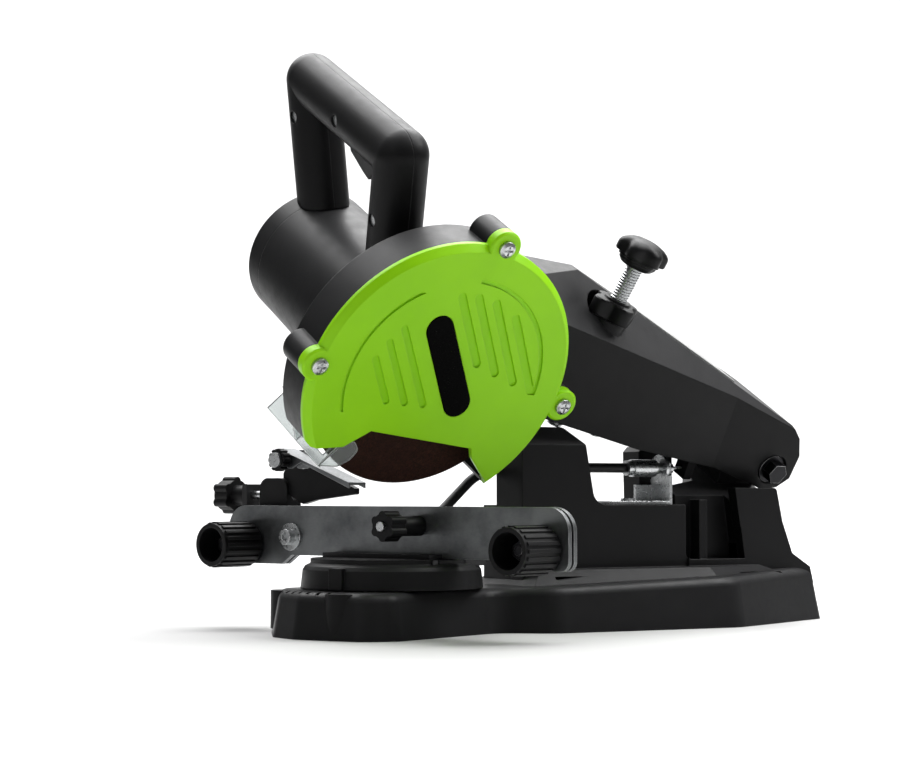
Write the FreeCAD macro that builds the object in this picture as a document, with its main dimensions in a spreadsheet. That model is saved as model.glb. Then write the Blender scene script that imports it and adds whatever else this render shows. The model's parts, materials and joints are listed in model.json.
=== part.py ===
import FreeCAD, Part
import math
import os

import Sketcher
from FreeCAD import Placement, Rotation, Vector

# Bench sharpener for saw chains: a tilted grinding head with motor and guard, hinged on a moulded
# base, over a swivelling vise that clamps the chain.
# Row frame: +Z up, +X from the vise to the rear hinge, +Y away from the guard's green cover.
# The origin is on the bench, under the axis that the vise swivels about.

X = Vector(1, 0, 0)
Y = Vector(0, 1, 0)
Z = Vector(0, 0, 1)

doc = FreeCAD.newDocument("ChainSharpener")
sheet = doc.addObject("Spreadsheet::Sheet", "Sizes")
nodes = []


# ---------------------------------------------------------------------------
# Sizes that remember the sheet expression they come from
# ---------------------------------------------------------------------------
class Size:
    """A length or angle: its value now, and the sheet expression that gives it."""

    def __init__(self, value, text):
        self.value = float(value)
        self.text = text

    def __add__(self, other):
        other = as_size(other)
        return Size(self.value + other.value, f"({self.text} + {other.text})")

    def __sub__(self, other):
        other = as_size(other)
        return Size(self.value - other.value, f"({self.text} - {other.text})")

    def __mul__(self, other):
        other = as_size(other)
        return Size(self.value * other.value, f"({self.text} * {other.text})")

    def __truediv__(self, other):
        other = as_size(other)
        return Size(self.value / other.value, f"({self.text} / {other.text})")

    def __neg__(self):
        return Size(-self.value, f"(0 - {self.text})")

    def __radd__(self, other):
        return as_size(other) + self

    def __rsub__(self, other):
        return as_size(other) - self

    def __rmul__(self, other):
        return as_size(other) * self


def as_size(number):
    if isinstance(number, Size):
        return number
    return Size(number, f"({number:.6f})")


def size(alias, value):
    """A named cell of the sheet."""
    row = size.row = size.row + 1
    sheet.set(f"A{row}", alias)
    sheet.set(f"B{row}", str(value))
    sheet.setAlias(f"B{row}", alias)
    return Size(value, f"Sizes.{alias}")


size.row = 0


def sine(angle):
    return Size(math.sin(math.radians(angle.value)), f"sin({angle.text} * 1deg)")


def cosine(angle):
    return Size(math.cos(math.radians(angle.value)), f"cos({angle.text} * 1deg)")


def root(square):
    return Size(math.sqrt(square.value), f"sqrt({square.text})")


# ---------------------------------------------------------------------------
# Document objects bound to the sheet
# ---------------------------------------------------------------------------
def bind(item, **sizes):
    for prop, length in sizes.items():
        item.setExpression(prop, as_size(length).text)
    return item


def place(item, at=(0, 0, 0), axis=None, angle=0):
    """Puts an object at a bound point, turned about an axis by a bound angle."""
    base = Vector(*[as_size(c).value for c in at])
    turn = Rotation(axis, as_size(angle).value) if axis else Rotation()
    item.Placement = Placement(base, turn)
    for letter, coordinate in zip("xyz", at):
        item.setExpression(f"Placement.Base.{letter}", as_size(coordinate).text)
    if axis and isinstance(angle, Size):
        item.setExpression("Placement.Rotation.Angle", angle.text)
    return item


def box(name, length, width, height, at, axis=None, angle=0):
    item = doc.addObject("Part::Box", name)
    bind(item, Length=length, Width=width, Height=height)
    return place(item, at, axis, angle)


TURN = {"x": (Y, 90), "y": (X, -90), "z": (None, 0)}


def rod(name, radius, length, at, along="z"):
    """A cylinder that starts at a point and runs along +x, +y or +z."""
    item = doc.addObject("Part::Cylinder", name)
    bind(item, Radius=radius, Height=length)
    return place(item, at, *TURN[along])


def cone(name, radius_start, radius_end, length, at, along="z"):
    item = doc.addObject("Part::Cone", name)
    bind(item, Radius1=radius_start, Radius2=radius_end, Height=length)
    return place(item, at, *TURN[along])


def prism(name, sides, circumradius, height, at, along="z"):
    item = doc.addObject("Part::Prism", name)
    item.Polygon = sides
    bind(item, Circumradius=circumradius, Height=height)
    return place(item, at, *TURN[along])


def fuse(name, *items):
    item = doc.addObject("Part::MultiFuse", name)
    item.Shapes = list(items)
    item.Refine = True
    return item


def cut(name, base, *tools):
    item = doc.addObject("Part::Cut", name)
    item.Base = base
    item.Tool = tools[0] if len(tools) == 1 else fuse(name + "_tools", *tools)
    return item


def common(name, first, second):
    item = doc.addObject("Part::MultiCommon", name)
    item.Shapes = [first, second]
    return item


def group(name, *items):
    item = doc.addObject("Part::Compound", name)
    item.Links = list(items)
    return item


def tube(name, outer, inner, length, at, along="z"):
    """A ring or sleeve."""
    beyond = 1
    start = list(at)
    index = "xyz".index(along)
    start[index] = as_size(at[index]) - beyond
    bore = rod(name + "_bore", inner, as_size(length) + 2 * beyond, start, along)
    return cut(name, rod(name + "_solid", outer, length, at, along), bore)


def spun(name, axis, angle, item):
    """Turns a shape about an axis through the frame's origin."""
    return place(group(name, item), (0, 0, 0), axis, angle)


PLANES = {"xy": "XY_Plane", "xz": "XZ_Plane", "yz": "YZ_Plane"}


def pad(name, plane, points, length, start=0, rounds=None, taper=None, bevel=None):
    """A PartDesign body: a closed outline, every corner bound to the sheet, padded along +normal.

    rounds pairs a radius with the outline corners that it rounds; bevel planes the far rim off.
    """
    body = doc.addObject("PartDesign::Body", name)
    sketch = body.newObject("Sketcher::SketchObject", name + "_outline")
    role = PLANES[plane]
    support = [feature for feature in body.Origin.OriginFeatures if feature.Role == role][0]
    sketch.AttachmentSupport = (support, [""])
    sketch.MapMode = "FlatFace"
    corners = [(as_size(a), as_size(b)) for a, b in points]
    flat = [Vector(a.value, b.value, 0) for a, b in corners]
    count = len(flat)
    for i in range(count):
        sketch.addGeometry(Part.LineSegment(flat[i], flat[(i + 1) % count]))
    for i in range(count):
        sketch.addConstraint(Sketcher.Constraint("Coincident", i, 2, (i + 1) % count, 1))
    for i, (a, b) in enumerate(corners):
        for kind, coordinate in (("DistanceX", a), ("DistanceY", b)):
            number = sketch.addConstraint(Sketcher.Constraint(kind, -1, 1, i, 1, coordinate.value))
            sketch.setExpression(f"Constraints[{number}]", coordinate.text)
    solid = body.newObject("PartDesign::Pad", name + "_pad")
    solid.Profile = sketch
    solid.Reversed = plane == "xz"
    bind(solid, Length=length)
    if taper is not None:
        bind(solid, TaperAngle=taper)
    start_at = {"xy": (0, 0, start), "xz": (0, start, 0), "yz": (start, 0, 0)}[plane]
    if rounds:
        doc.recompute([sketch, solid])
        for number, (radius, chosen) in enumerate(rounds):
            edges = outline_edges(solid.Shape, plane, [flat[i] for i in chosen])
            fillet = body.newObject("PartDesign::Fillet", f"{name}_round{number}")
            fillet.Base = (solid, edges)
            bind(fillet, Radius=radius)
            doc.recompute([fillet])
            solid = fillet
    if bevel is not None:
        height = as_size(length).value
        edges = [f"Edge{number}" for number, edge in enumerate(solid.Shape.Edges, start=1)
                 if all(abs(vertex.Z - height) < 1e-3 for vertex in edge.Vertexes)]
        chamfer_step = body.newObject("PartDesign::Chamfer", name + "_bevel")
        chamfer_step.Base = (solid, edges)
        bind(chamfer_step, Size=bevel)
    return place(body, start_at)


def outline_edges(shape, plane, corners):
    """Names of the edges that rise from the given corners of a pad's outline."""
    flat = {"xy": lambda p: (p.x, p.y), "xz": lambda p: (p.x, p.z), "yz": lambda p: (p.y, p.z)}[plane]
    depth = {"xy": "z", "xz": "y", "yz": "x"}[plane]
    reach = 1e-3
    found = []
    for number, edge in enumerate(shape.Edges, start=1):
        ends = [vertex.Point for vertex in edge.Vertexes]
        if len(ends) < 2 or abs(getattr(ends[0] - ends[1], depth)) < reach:
            continue
        low = min(ends, key=lambda p: abs(getattr(p, depth)))
        a, b = flat(low)
        if any(math.hypot(a - corner.x, b - corner.y) < reach for corner in corners):
            found.append(f"Edge{number}")
    return found


def straight_prism(name, points, direction, length, at):
    """A closed outline in a YZ plane at a point, swept straight along a direction."""
    sketch = doc.addObject("Sketcher::SketchObject", name + "_outline")
    corners = [(as_size(a), as_size(b)) for a, b in points]
    count = len(corners)
    for i in range(count):
        a, b = corners[i]
        c, d = corners[(i + 1) % count]
        start = Vector(a.value, b.value, 0)
        sketch.addGeometry(Part.LineSegment(start, Vector(c.value, d.value, 0)))
    for i in range(count):
        sketch.addConstraint(Sketcher.Constraint("Coincident", i, 2, (i + 1) % count, 1))
    for i, (a, b) in enumerate(corners):
        for kind, coordinate in (("DistanceX", a), ("DistanceY", b)):
            number = sketch.addConstraint(Sketcher.Constraint(kind, -1, 1, i, 1, coordinate.value))
            sketch.setExpression(f"Constraints[{number}]", coordinate.text)
    place(sketch, at, Vector(1, 1, 1), 120)
    item = doc.addObject("Part::Extrusion", name)
    item.Base = sketch
    item.DirMode = "Custom"
    item.Dir = direction
    item.Solid = True
    bind(item, LengthFwd=length)
    return item


def head_frame(item):
    """The grinding head's frame: x as in the row, y along the wheel's axis, z up in its plane."""
    return place(item, (0, wheel_y, wheel_z), X, head_tilt)


def vise_frame(item):
    """The vise's frame: x across the jaws to the rear, y along them, turned about the swivel."""
    return place(item, (0, 0, 0), Z, vise_swing)


def node(label, *items, frame=None):
    """Names one sub-part: its solids in one object, set in its frame."""
    part = group(label + "_part", *items)
    part.Label = label
    if frame:
        frame(part)
    nodes.append(part)
    return part


# ---------------------------------------------------------------------------
# Driving dimensions
# ---------------------------------------------------------------------------
head_tilt = size("head_tilt", 30)
vise_swing = size("vise_swing", 17)
running_gap = size("running_gap", 0.05)
seat_gap = size("seat_gap", 0.3)

wheel_radius = size("wheel_radius", 54)
wheel_width = size("wheel_width", 3.2)
wheel_bore = size("wheel_bore_radius", 11.5)
grind_height = size("grind_height", 63.8)
wheel_y = -(wheel_radius * sine(head_tilt))
wheel_z = grind_height + wheel_radius * cosine(head_tilt)

wall = size("shell_wall", 2.5)
base_wall = size("base_wall", 3)

# Base
base_middle = size("base_middle_y", -2)
skirt_height = size("skirt_height", 19)
skirt_draft = size("skirt_draft", 9)
pad_front = size("pad_front_reach", 53)
pad_half = size("pad_half_width", 41)
waist_half = size("waist_half_width", 19.5)
rear_half = size("rear_half_width", 45)
tail_half = size("tail_half_width", 13)
tail_far = size("tail_far_y", 27.5)
tail_x = size("tail_x", 229)
shoulder_height = size("shoulder_height", 7)
beam_top = size("beam_top", 53.8)
beam_near = size("beam_near_y", -13)
beam_far = size("beam_far_y", 17)
post_x = size("post_x", 58)
post_far = size("post_far_y", 7)
post_top = size("post_top", 88)
column_near = size("column_near_y", -14)
column_far = size("column_far_y", 25)
column_x = size("column_x", 149)

# Hinge
hinge_x = size("hinge_x", 203)
hinge_z = size("hinge_drop", -44)
hinge_bolt_radius = size("hinge_bolt_radius", 3)
tongue_near = size("tongue_near", 5)
tongue_far = size("tongue_far", 26)
tongue_radius = size("tongue_radius", 7.4)

# Arm
arm_near = size("arm_near", -1.5)
arm_width = size("arm_width", 43.5)
arm_far = arm_near + arm_width
arm_flare = size("arm_flare", 5)

# Guard and motor
guard_radius = size("guard_radius", 61)
cover_near = size("cover_near", -14)
guard_split = size("guard_split", -9.5)
guard_far = size("guard_far", 8.5)
motor_radius = size("motor_radius", 31.2)
motor_front_radius = size("motor_front_radius", 32.4)
motor_step = size("motor_step", 46)
motor_far = size("motor_far", 102)
cap_depth = size("cap_depth", 15)
shaft_radius = size("shaft_radius", 4)

# Vise
table_radius = size("table_radius", 38.5)
table_bottom = size("table_bottom", 19.5)
table_height = size("table_height", 12.3)
jaw_half = size("jaw_half_length", 95)
jaw_thick = size("jaw_thick", 2)
jaw_top = size("jaw_top", 53.5)
jaw_bottom = size("jaw_bottom", 32)
jaw_end_bottom = size("jaw_end_bottom", 28)
chain_gap = size("chain_gap", 1.5)

# ---------------------------------------------------------------------------
# Base shell
# ---------------------------------------------------------------------------
def base_outline(inset):
    """Corners of the base's plan: front pad, waist, and a rear block that narrows to its tail."""
    half = [
        (-pad_front + inset, 9 - inset * 0.5),
        (inset - 38, pad_half - 3 - inset),
        (-24, pad_half + 1 - inset),
        (40, waist_half - inset),
        (post_x, rear_half - 9 - inset),
        (column_x + 2, rear_half - inset),
        (tail_x - inset, tail_half - inset * 0.5),
    ]
    near = [(a, base_middle - b) for a, b in half]
    far = [(a, base_middle + b) for a, b in reversed(half[:-1])]
    return near + [(tail_x - inset, tail_far - inset * 0.5)] + far


def skirt_profile():
    """Side view of the skirt: level at the pad, then a top that climbs slightly to the tail."""
    return [
        (-pad_front - 5, 0),
        (tail_x + 5, 0),
        (tail_x + 5, tail_height),
        (rise_start, skirt_height),
        (-pad_front - 5, skirt_height),
    ]


def rounded_rim(name, solid, radius):
    """Rounds the rim between a solid's drafted side walls and its top."""
    doc.recompute([solid])
    edges = []
    for number, edge in enumerate(solid.Shape.Edges, start=1):
        faces = solid.Shape.ancestorsOfType(edge, Part.Face)
        lean = [abs(face.normalAt(*face.Surface.parameter(edge.CenterOfMass)).z) for face in faces]
        if edge.CenterOfMass.z > skirt_height.value - 1 and min(lean) < 0.5 < max(lean):
            edges.append((number, radius.value, radius.value))
    item = doc.addObject("Part::Fillet", name)
    item.Base = solid
    item.Edges = edges
    return item


def rear_outline(inset):
    """Plan of the cove between the skirt and the beam."""
    half = [
        (post_x - 3 + inset, rear_half - 21 - inset),
        (column_x + 2, rear_half - 12 - inset),
        (tail_x - 7 - inset, tail_half - 3),
    ]
    near = [(a, base_middle - b) for a, b in half]
    far = [(a, base_middle + b) for a, b in reversed(half[:-1])]
    return near + [(tail_x - 7 - inset, tail_far - 4)] + far


def post_profile(inset):
    """Side view of the stop post: an upright with a sloping rear edge that curves into the beam."""
    return [
        (post_x + inset, skirt_height - 2),
        (post_x + inset, post_top - 6 - inset),
        (post_x + 10 + inset * 0.5, post_top - inset),
        (post_x + 26.5 - inset * 0.5, post_top - inset),
        (post_x + 34 - inset, post_top - 7.5 - inset),
        (post_x + 39 - inset, beam_top),
        (post_x + 60 - inset, beam_top),
        (post_x + 60 - inset, skirt_height - 2),
    ]


def column_profile(inset):
    """Side view of the rear column under the hinge, from its low front to its raked back."""
    return [
        (column_x + inset, skirt_height - 2),
        (column_x + inset, beam_top + 8),
        (column_x + 8 + inset, beam_top + 30),
        (hinge_x - inset, beam_top + 30),
        (hinge_x - inset, beam_top - 3),
        (hinge_x + 8 - inset, skirt_height + 12),
        (tail_x - 7 - inset, skirt_height + 5.5 - inset * 0.4),
        (tail_x - 5 - inset, skirt_height - 2),
    ]


def above_hinge_seat(name, clearance):
    """A block of everything above the sloping seat that the arm's underside passes over."""
    block = box(name, 260, 260, 120, (hinge_x - 130, -100, hinge_z - clearance))
    return head_frame(group(name + "_tilted", block))


column_drop = size("column_drop", 13)

rise_start = size("skirt_rise_start", 44)
tail_height = size("tail_height", 24.6)
skirt_block = pad("base_skirt_block", "xy", base_outline(0), 30, 0,
                  [(size("tail_round", 7), [6, 7]), (size("pad_round", 12), [1, 12]),
                   (size("nose_round", 8), [0, 2, 11, 13]), (size("waist_round", 14), [3, 4, 9, 10]),
                   (size("flank_round", 20), [5, 8])], -skirt_draft)
skirt_side = pad("base_skirt_side", "xz", skirt_profile(), 140, -70)
skirt = rounded_rim("base_skirt", common("base_skirt_plain", skirt_block, skirt_side),
                    size("rim_round", 4.5))
shoulder = pad("base_shoulder", "xy", rear_outline(0), shoulder_height, skirt_height,
               None, size("shoulder_draft", -48))
beam = box("base_beam", column_x - post_x + 6, beam_far - beam_near, beam_top - skirt_height + 2,
           (post_x, beam_near, skirt_height - 2))
post = pad("base_post", "xz", post_profile(0), post_far - beam_near, beam_near,
           [(size("post_round", 3), [2, 3, 4]), (size("post_root_round", 7), [5])])
post_bevel = straight_prism("base_post_bevel",
                            [(beam_near - 1, post_top - 9), (beam_near + 8, post_top + 1),
                             (beam_near - 1, post_top + 1)],
                            X, 60, (post_x - 5, 0, 0))
post_cut = cut("base_post_cut", post, post_bevel)
column_side = pad("base_column_side", "xz", column_profile(0), column_far - column_near, column_near)
column_plan = pad("base_column_plan", "xy",
                  [(column_x, column_near), (tail_x, column_near), (tail_x, column_far),
                   (hinge_x - 26, column_far), (column_x + 20, 8), (column_x, 3)], 120, 0)
column = common("base_column", column_side, column_plan)
column_low = cut("base_column_low", column, above_hinge_seat("seat_block", column_drop))
neck_length = size("neck_length", 22)
tongue_round = rod("tongue_round", tongue_radius, tongue_far - tongue_near,
                   (hinge_x, tongue_near, hinge_z), "y")
tongue_neck = box("tongue_neck", neck_length, tongue_far - tongue_near, column_drop + 6,
                  (hinge_x + 1 - neck_length, tongue_near, hinge_z - column_drop - 5))
tongue = head_frame(group("tongue_tilted", fuse("tongue_solid", tongue_round, tongue_neck)))

pocket_floor = size("column_pocket_floor", -4)
column_pocket = pad("column_pocket", "xz",
                    [(column_x - 1, skirt_height + 10), (hinge_x - 21, skirt_height + 10),
                     (hinge_x - 26.5, 66), (column_x - 1, 66)],
                    pocket_floor - column_near + 1, column_near - 1, [(3, [0])])
column_rib = box("column_rib", 4.6, 10, skirt_height + 11, (column_x + 9, -10.5, skirt_height + 7))
cheek_top = size("cheek_top", 61.4)
cheek = pad("column_cheek", "xz",
            [(hinge_x - 23.5, beam_top - 10), (hinge_x - 26.5, cheek_top),
             (hinge_x - 1.5, cheek_top), (hinge_x + 2.5, beam_top - 10)], 5.4, column_near, [(2, [2])])
tower = pad("column_tower", "xz",
            [(column_x - 6, skirt_height - 1), (column_x - 7.5, 78), (column_x - 5, 80.5),
             (column_x + 12, 80.5), (column_x + 12, skirt_height - 1)], column_far - 13, 13)

skirt_hollow = pad("skirt_hollow", "xy", base_outline(base_wall), skirt_height - base_wall - 0.5, -1,
                   None, -skirt_draft - 6)
shoulder_hollow = box("shoulder_hollow", 128, 44, shoulder_height + 1,
                      (post_x + 10, base_middle - 22, skirt_height - base_wall - 1))
beam_hollow = box("beam_hollow", column_x - post_x - 4, beam_far - beam_near - 2 * base_wall,
                  beam_top - skirt_height, (post_x + base_wall, beam_near + base_wall,
                                            skirt_height - base_wall))
post_hollow = box("post_hollow", 26, post_far - beam_near - 2 * base_wall,
                  post_top - beam_top - base_wall, (post_x + base_wall + 1, beam_near + base_wall,
                                                    beam_top - 8))
column_hollow = box("column_hollow", 22, 16, 30, (hinge_x - 22, column_near + base_wall + 2, skirt_height - 4))

pivot_radius = size("pivot_radius", 4)
pivot_hole = rod("pivot_hole", pivot_radius + running_gap, 30, (0, 0, -1))
pivot_boss = rod("pivot_boss", 11, skirt_height - 7, (0, 0, 6))
bush_radius = hinge_bolt_radius + 2
tongue_bore = head_frame(group("tongue_bore_tilted", rod(
    "tongue_bore", bush_radius, 60, (hinge_x, tongue_near - 10, hinge_z), "y")))
foot_radius = size("foot_radius", 5.5)
foot_places = [(-38, -24), (-38, 22), (column_x - 20, -30), (column_x - 20, 28), (tail_x - 20, -2)]
foot_posts = [rod(f"foot_post{i}", foot_radius + 1.5, skirt_height - 3, (a, b, 2.5))
              for i, (a, b) in enumerate(foot_places)]

slot_count = 8
slot_tools = []
for i in range(slot_count):
    slot_angle = 164 + i * 6
    slot = box(f"scale_slot{i}", 9, 1.5, 3, (table_radius + 1.5, -0.75, skirt_height - 1.2))
    holder = group(f"scale_slot_turn{i}", slot)
    slot_tools.append(place(holder, (0, 0, 0), Z, slot_angle))

base_body = cut("base_without_bosses",
                fuse("base_outer", skirt, shoulder, beam, post_cut, column_low, tongue),
                skirt_hollow, shoulder_hollow, beam_hollow, post_hollow, column_hollow,
                column_pocket)
base_solid = cut("base_shell_solid", fuse("base_with_bosses", base_body, pivot_boss, column_rib,
                                          cheek, tower, *foot_posts),
                 pivot_hole, tongue_bore, *slot_tools,
                 rod("bracket_screw_room", 1.6, 12, (128, 4, beam_top - 6)))
node("base_shell", base_solid)

# ---------------------------------------------------------------------------
# Grinding wheel and its spindle (head frame)
# ---------------------------------------------------------------------------
bevel = size("wheel_bevel", 0.8)
wheel_face = wheel_width / 2
wheel_body = fuse("wheel_body",
                  rod("wheel_land", wheel_radius, wheel_width - 2 * bevel, (0, bevel - wheel_face, 0), "y"),
                  cone("wheel_near_bevel", wheel_radius - bevel, wheel_radius, bevel,
                       (0, -wheel_face, 0), "y"),
                  cone("wheel_far_bevel", wheel_radius, wheel_radius - bevel, bevel,
                       (0, wheel_face - bevel, 0), "y"))
wheel_hole = rod("wheel_hole", wheel_bore, 8, (0, -4, 0), "y")
node("grinding_wheel", cut("wheel_solid", wheel_body, wheel_hole), frame=head_frame)

flange_radius = size("flange_radius", 17)
flange_width = size("flange_width", 3)
shaft_hole = shaft_radius + 0.02
inner_flange = fuse("inner_flange_body",
                    rod("inner_flange_disc", flange_radius, flange_width, (0, wheel_face, 0), "y"),
                    rod("inner_flange_hub", wheel_bore - running_gap, wheel_width - 0.4,
                        (0, 0.4 - wheel_face, 0), "y"))
node("inner_flange", cut("inner_flange_solid", inner_flange,
                         rod("inner_flange_hole", shaft_hole, 12, (0, -4, 0), "y")), frame=head_frame)
node("outer_flange", tube("outer_flange_ring", flange_radius, shaft_hole, flange_width - 0.2,
                          (0, -wheel_face - flange_width + 0.2, 0), "y"), frame=head_frame)
nut_near = -wheel_face - flange_width + 0.2
node("arbor_nut", cut("arbor_nut_solid", prism("arbor_nut_hex", 6, 7.4, 5, (0, nut_near - 5, 0), "y"),
                      rod("arbor_nut_hole", shaft_hole, 9, (0, nut_near - 7, 0), "y")),
     frame=head_frame)
shaft_near = nut_near - 6
shaft_far = motor_far + 3
node("motor_shaft", rod("motor_shaft_rod", shaft_radius, shaft_far - shaft_near, (0, shaft_near, 0),
                        "y"), frame=head_frame)
fan_blades = [spun(f"fan_blade{i}", Y, i * 36, box(f"fan_vane{i}", 16, 7, 1.6, (8, 0, -0.8)))
              for i in range(10)]
fan_hub = tube("fan_hub", 10, shaft_hole, 7, (0, 0, 0), "y")
fan_disc = tube("fan_disc", 25, shaft_hole, 1.6, (0, 5.4, 0), "y")
fan = place(group("fan_placed", fuse("fan_solid", fan_hub, fan_disc, *fan_blades)), (0, 20, 0))
node("cooling_fan", fan, frame=head_frame)
rotor_slots = [spun(f"rotor_slot{i}", Y, i * 30, box(f"rotor_groove{i}", 3, 36, 2, (14, 33, -1)))
               for i in range(12)]
node("rotor", cut("rotor_solid", tube("rotor_ring", 16, shaft_hole, 34, (0, 34, 0), "y"),
                  *rotor_slots), frame=head_frame)
node("commutator", tube("commutator_ring", 9, shaft_hole, 12, (0, 72, 0), "y"), frame=head_frame)
node("bearings",
     tube("front_bearing_ring", 11, shaft_radius + running_gap, 7, (0, guard_far + 0.2, 0), "y"),
     tube("rear_bearing_ring", 9.5, shaft_radius + running_gap, 6, (0, motor_far - 5, 0), "y"),
     frame=head_frame)
field_ring = tube("field_ring", motor_radius - wall, 17, 36, (0, 33, 0), "y")
field_gaps = [box(f"field_gap{i}", 80, 40, 9, (-40, 31, -4.5)) for i in range(1)]
node("field_magnets", cut("field_solid", field_ring, *field_gaps), frame=head_frame)
brushes = [box(f"brush_holder{i}", 7, 9, 16.6, (-3.5, 73.5, start))
           for i, start in enumerate((9.6, -26.2))]
node("brush_holders", fuse("brush_solid", *brushes,
                           tube("brush_ring", motor_radius - wall, 24.5, 3, (0, 76, 0), "y")),
     frame=head_frame)

# ---------------------------------------------------------------------------
# Guard: black rear half and green cover (head frame)
# ---------------------------------------------------------------------------
screw_places = [(-59.4, 6.2), (10.8, 61.1), (63.4, -8.8)]
boss_radius = size("screw_boss_radius", 7.2)


def notch(name, inset, near, length):
    """The opening at the bottom of the guard, closed by the line of its lower edge."""
    points = [(-75, inset - 27.5), (-55, inset - 28.5), (-52, inset - 31), (-38, inset - 30),
              (-27, inset - 22.5), (24 - inset, inset - 30), (26 - inset, inset - 35),
              (37 - inset, -46.5), (46, -62), (46, -80), (-75, -80)]
    return pad(name, "xz", points, length, near)


guard_depth = guard_far - guard_split
guard_disc = rod("guard_disc", guard_radius, guard_depth, (0, guard_split, 0), "y")
boss_depths = [size("left_boss_depth", 14), size("top_boss_depth", 14.01), size("right_boss_depth", 7.9)]
guard_bosses = [rod(f"guard_boss{i}", boss_radius, boss_depths[i], (a, guard_split, b), "y")
                for i, (a, b) in enumerate(screw_places)]
guard_hollow = rod("guard_hollow", guard_radius - wall, guard_depth - wall + 1,
                   (0, guard_split - 1, 0), "y")
guard_holes = [rod(f"guard_screw_hole{i}", 1.95, 12, (a, guard_split - 1, b), "y")
               for i, (a, b) in enumerate(screw_places)]
guard_shell = cut("guard_shell", fuse("guard_outer", guard_disc, *guard_bosses), guard_hollow,
                  notch("guard_notch", 0.3, guard_split - 1, guard_depth + 2),
                  rod("guard_shaft_hole", 12, 20, (0, 0, 0), "y"), *guard_holes)
inner_bosses = cut("guard_inner_bosses", fuse("guard_boss_posts", *[
    rod(f"guard_boss_post{i}", boss_radius - 0.1, boss_depths[i] - 0.1, (a, guard_split, b), "y")
    for i, (a, b) in enumerate(screw_places)]), *[
    rod(f"guard_post_hole{i}", 1.95, 12, (a, guard_split - 1, b), "y")
    for i, (a, b) in enumerate(screw_places)],
    rod("wheel_room", wheel_radius + 1.6, 16, (0, guard_split - 0.5, 0), "y"))
node("guard_body", fuse("guard_body_solid", guard_shell, inner_bosses), frame=head_frame)

cover_depth = guard_split - cover_near
chamfer = size("cover_chamfer", 2.8)
cover_disc = fuse("cover_disc",
                  rod("cover_rim", guard_radius + 0.5, cover_depth - chamfer,
                      (0, cover_near + chamfer, 0), "y"),
                  cone("cover_bevel", guard_radius + 0.5 - chamfer, guard_radius + 0.5, chamfer,
                       (0, cover_near, 0), "y"),
                  *[rod(f"cover_boss{i}", boss_radius, cover_depth - 0.8, (a, cover_near + 0.8, b), "y")
                    for i, (a, b) in enumerate(screw_places)],
                  *[cone(f"cover_boss_edge{i}", boss_radius - 0.8, boss_radius, 0.8, (a, cover_near, b), "y")
                    for i, (a, b) in enumerate(screw_places)])
cover_hollow = rod("cover_hollow", guard_radius - wall - 1, cover_depth, (0, cover_near + wall, 0),
                   "y")
keep_bosses = fuse("cover_boss_posts", *[
    rod(f"cover_boss_post{i}", boss_radius - 0.1, cover_depth - 2, (a, cover_near + 2, b), "y")
    for i, (a, b) in enumerate(screw_places)])
cover_posts = cut("cover_posts", keep_bosses,
                  rod("cover_wheel_room", wheel_radius + 1.6, 20, (0, cover_near + wall, 0), "y"))
label_turn = size("label_turn", -29.6)
label_x = size("label_x", 0.5)
label_z = size("label_z", 7.7)
label_half = size("label_half_length", 19)
label_radius = size("label_radius", 6)
rib_depth = size("rib_depth", 0.9)
rib_reach = size("rib_reach", 41)


def turned(name, *items):
    """Shapes drawn about the label's centre, turned with the label."""
    return place(group(name, fuse(name + "_all", *items)), (label_x, 0, label_z), Y, label_turn)


def slot(name, middle, low, high, width, near, depth):
    """A pill-shaped cutter parallel to the label."""
    half = width / 2
    return [box(name + "_run", width, depth, high - low, (middle - half, near, low)),
            rod(name + "_low", half, depth, (middle, near, low), "y"),
            rod(name + "_high", half, depth, (middle, near, high), "y")]


cutter_near = cover_near - 1
cutter_depth = rib_depth + 1
slots = []
for i in range(4):
    across = 12.5 + i * 7
    top = math.sqrt(rib_reach.value ** 2 - (across + 4.3) ** 2) - 8.5
    slots += slot(f"right_slot{i}", as_size(across), as_size(-5 - i * 8.5), as_size(top),
                  as_size(3.6), cutter_near, cutter_depth)
for i in range(3):
    across = 14.5 + i * 7.5
    top = math.sqrt(rib_reach.value ** 2 - (across - 4.3) ** 2) - 13
    slots += slot(f"left_slot{i}", as_size(-across), as_size(i * 5 - 12), as_size(top),
                  as_size(3), cutter_near, cutter_depth)
label_recess = slot("label_recess", as_size(0), -label_half, label_half, 2 * label_radius + 0.6,
                    cutter_near, cutter_depth)
arc_groove = common("arc_groove", tube("arc_ring", 47.5, 45.6, cutter_depth, (0, cutter_near, 0), "y"),
                    box("arc_sector", 60, 6, 54, (4, cutter_near - 1, -4)))
arc_groove_left = common("arc_groove_left",
                         tube("arc_ring_left", 46, 44.8, cutter_depth, (0, cutter_near, 0), "y"),
                         box("arc_sector_left", 44, 6, 54, (-60, cutter_near - 1, -14)))
cover_holes = [rod(f"cover_screw_hole{i}", 2, 20, (a, cover_near - 2, b), "y")
               for i, (a, b) in enumerate(screw_places)]
cover_shell = cut("cover_shell", cover_disc, cover_hollow)
cover_solid = cut("cover_solid", fuse("cover_with_posts", cover_shell, cover_posts),
                  notch("cover_notch", 0, cover_near - 1, cover_depth + 2),
                  turned("cover_slots", *slots, *label_recess), arc_groove, arc_groove_left,
                  *cover_holes)
node("guard_cover", cover_solid, frame=head_frame)

label_pieces = slot("label_pill", as_size(0), -label_half, label_half, 2 * label_radius,
                    cover_near - 0.3, rib_depth + 0.3)
node("label_plate", turned("label_turned", *label_pieces), frame=head_frame)

screw_head = size("screw_head_radius", 3.5)


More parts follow.
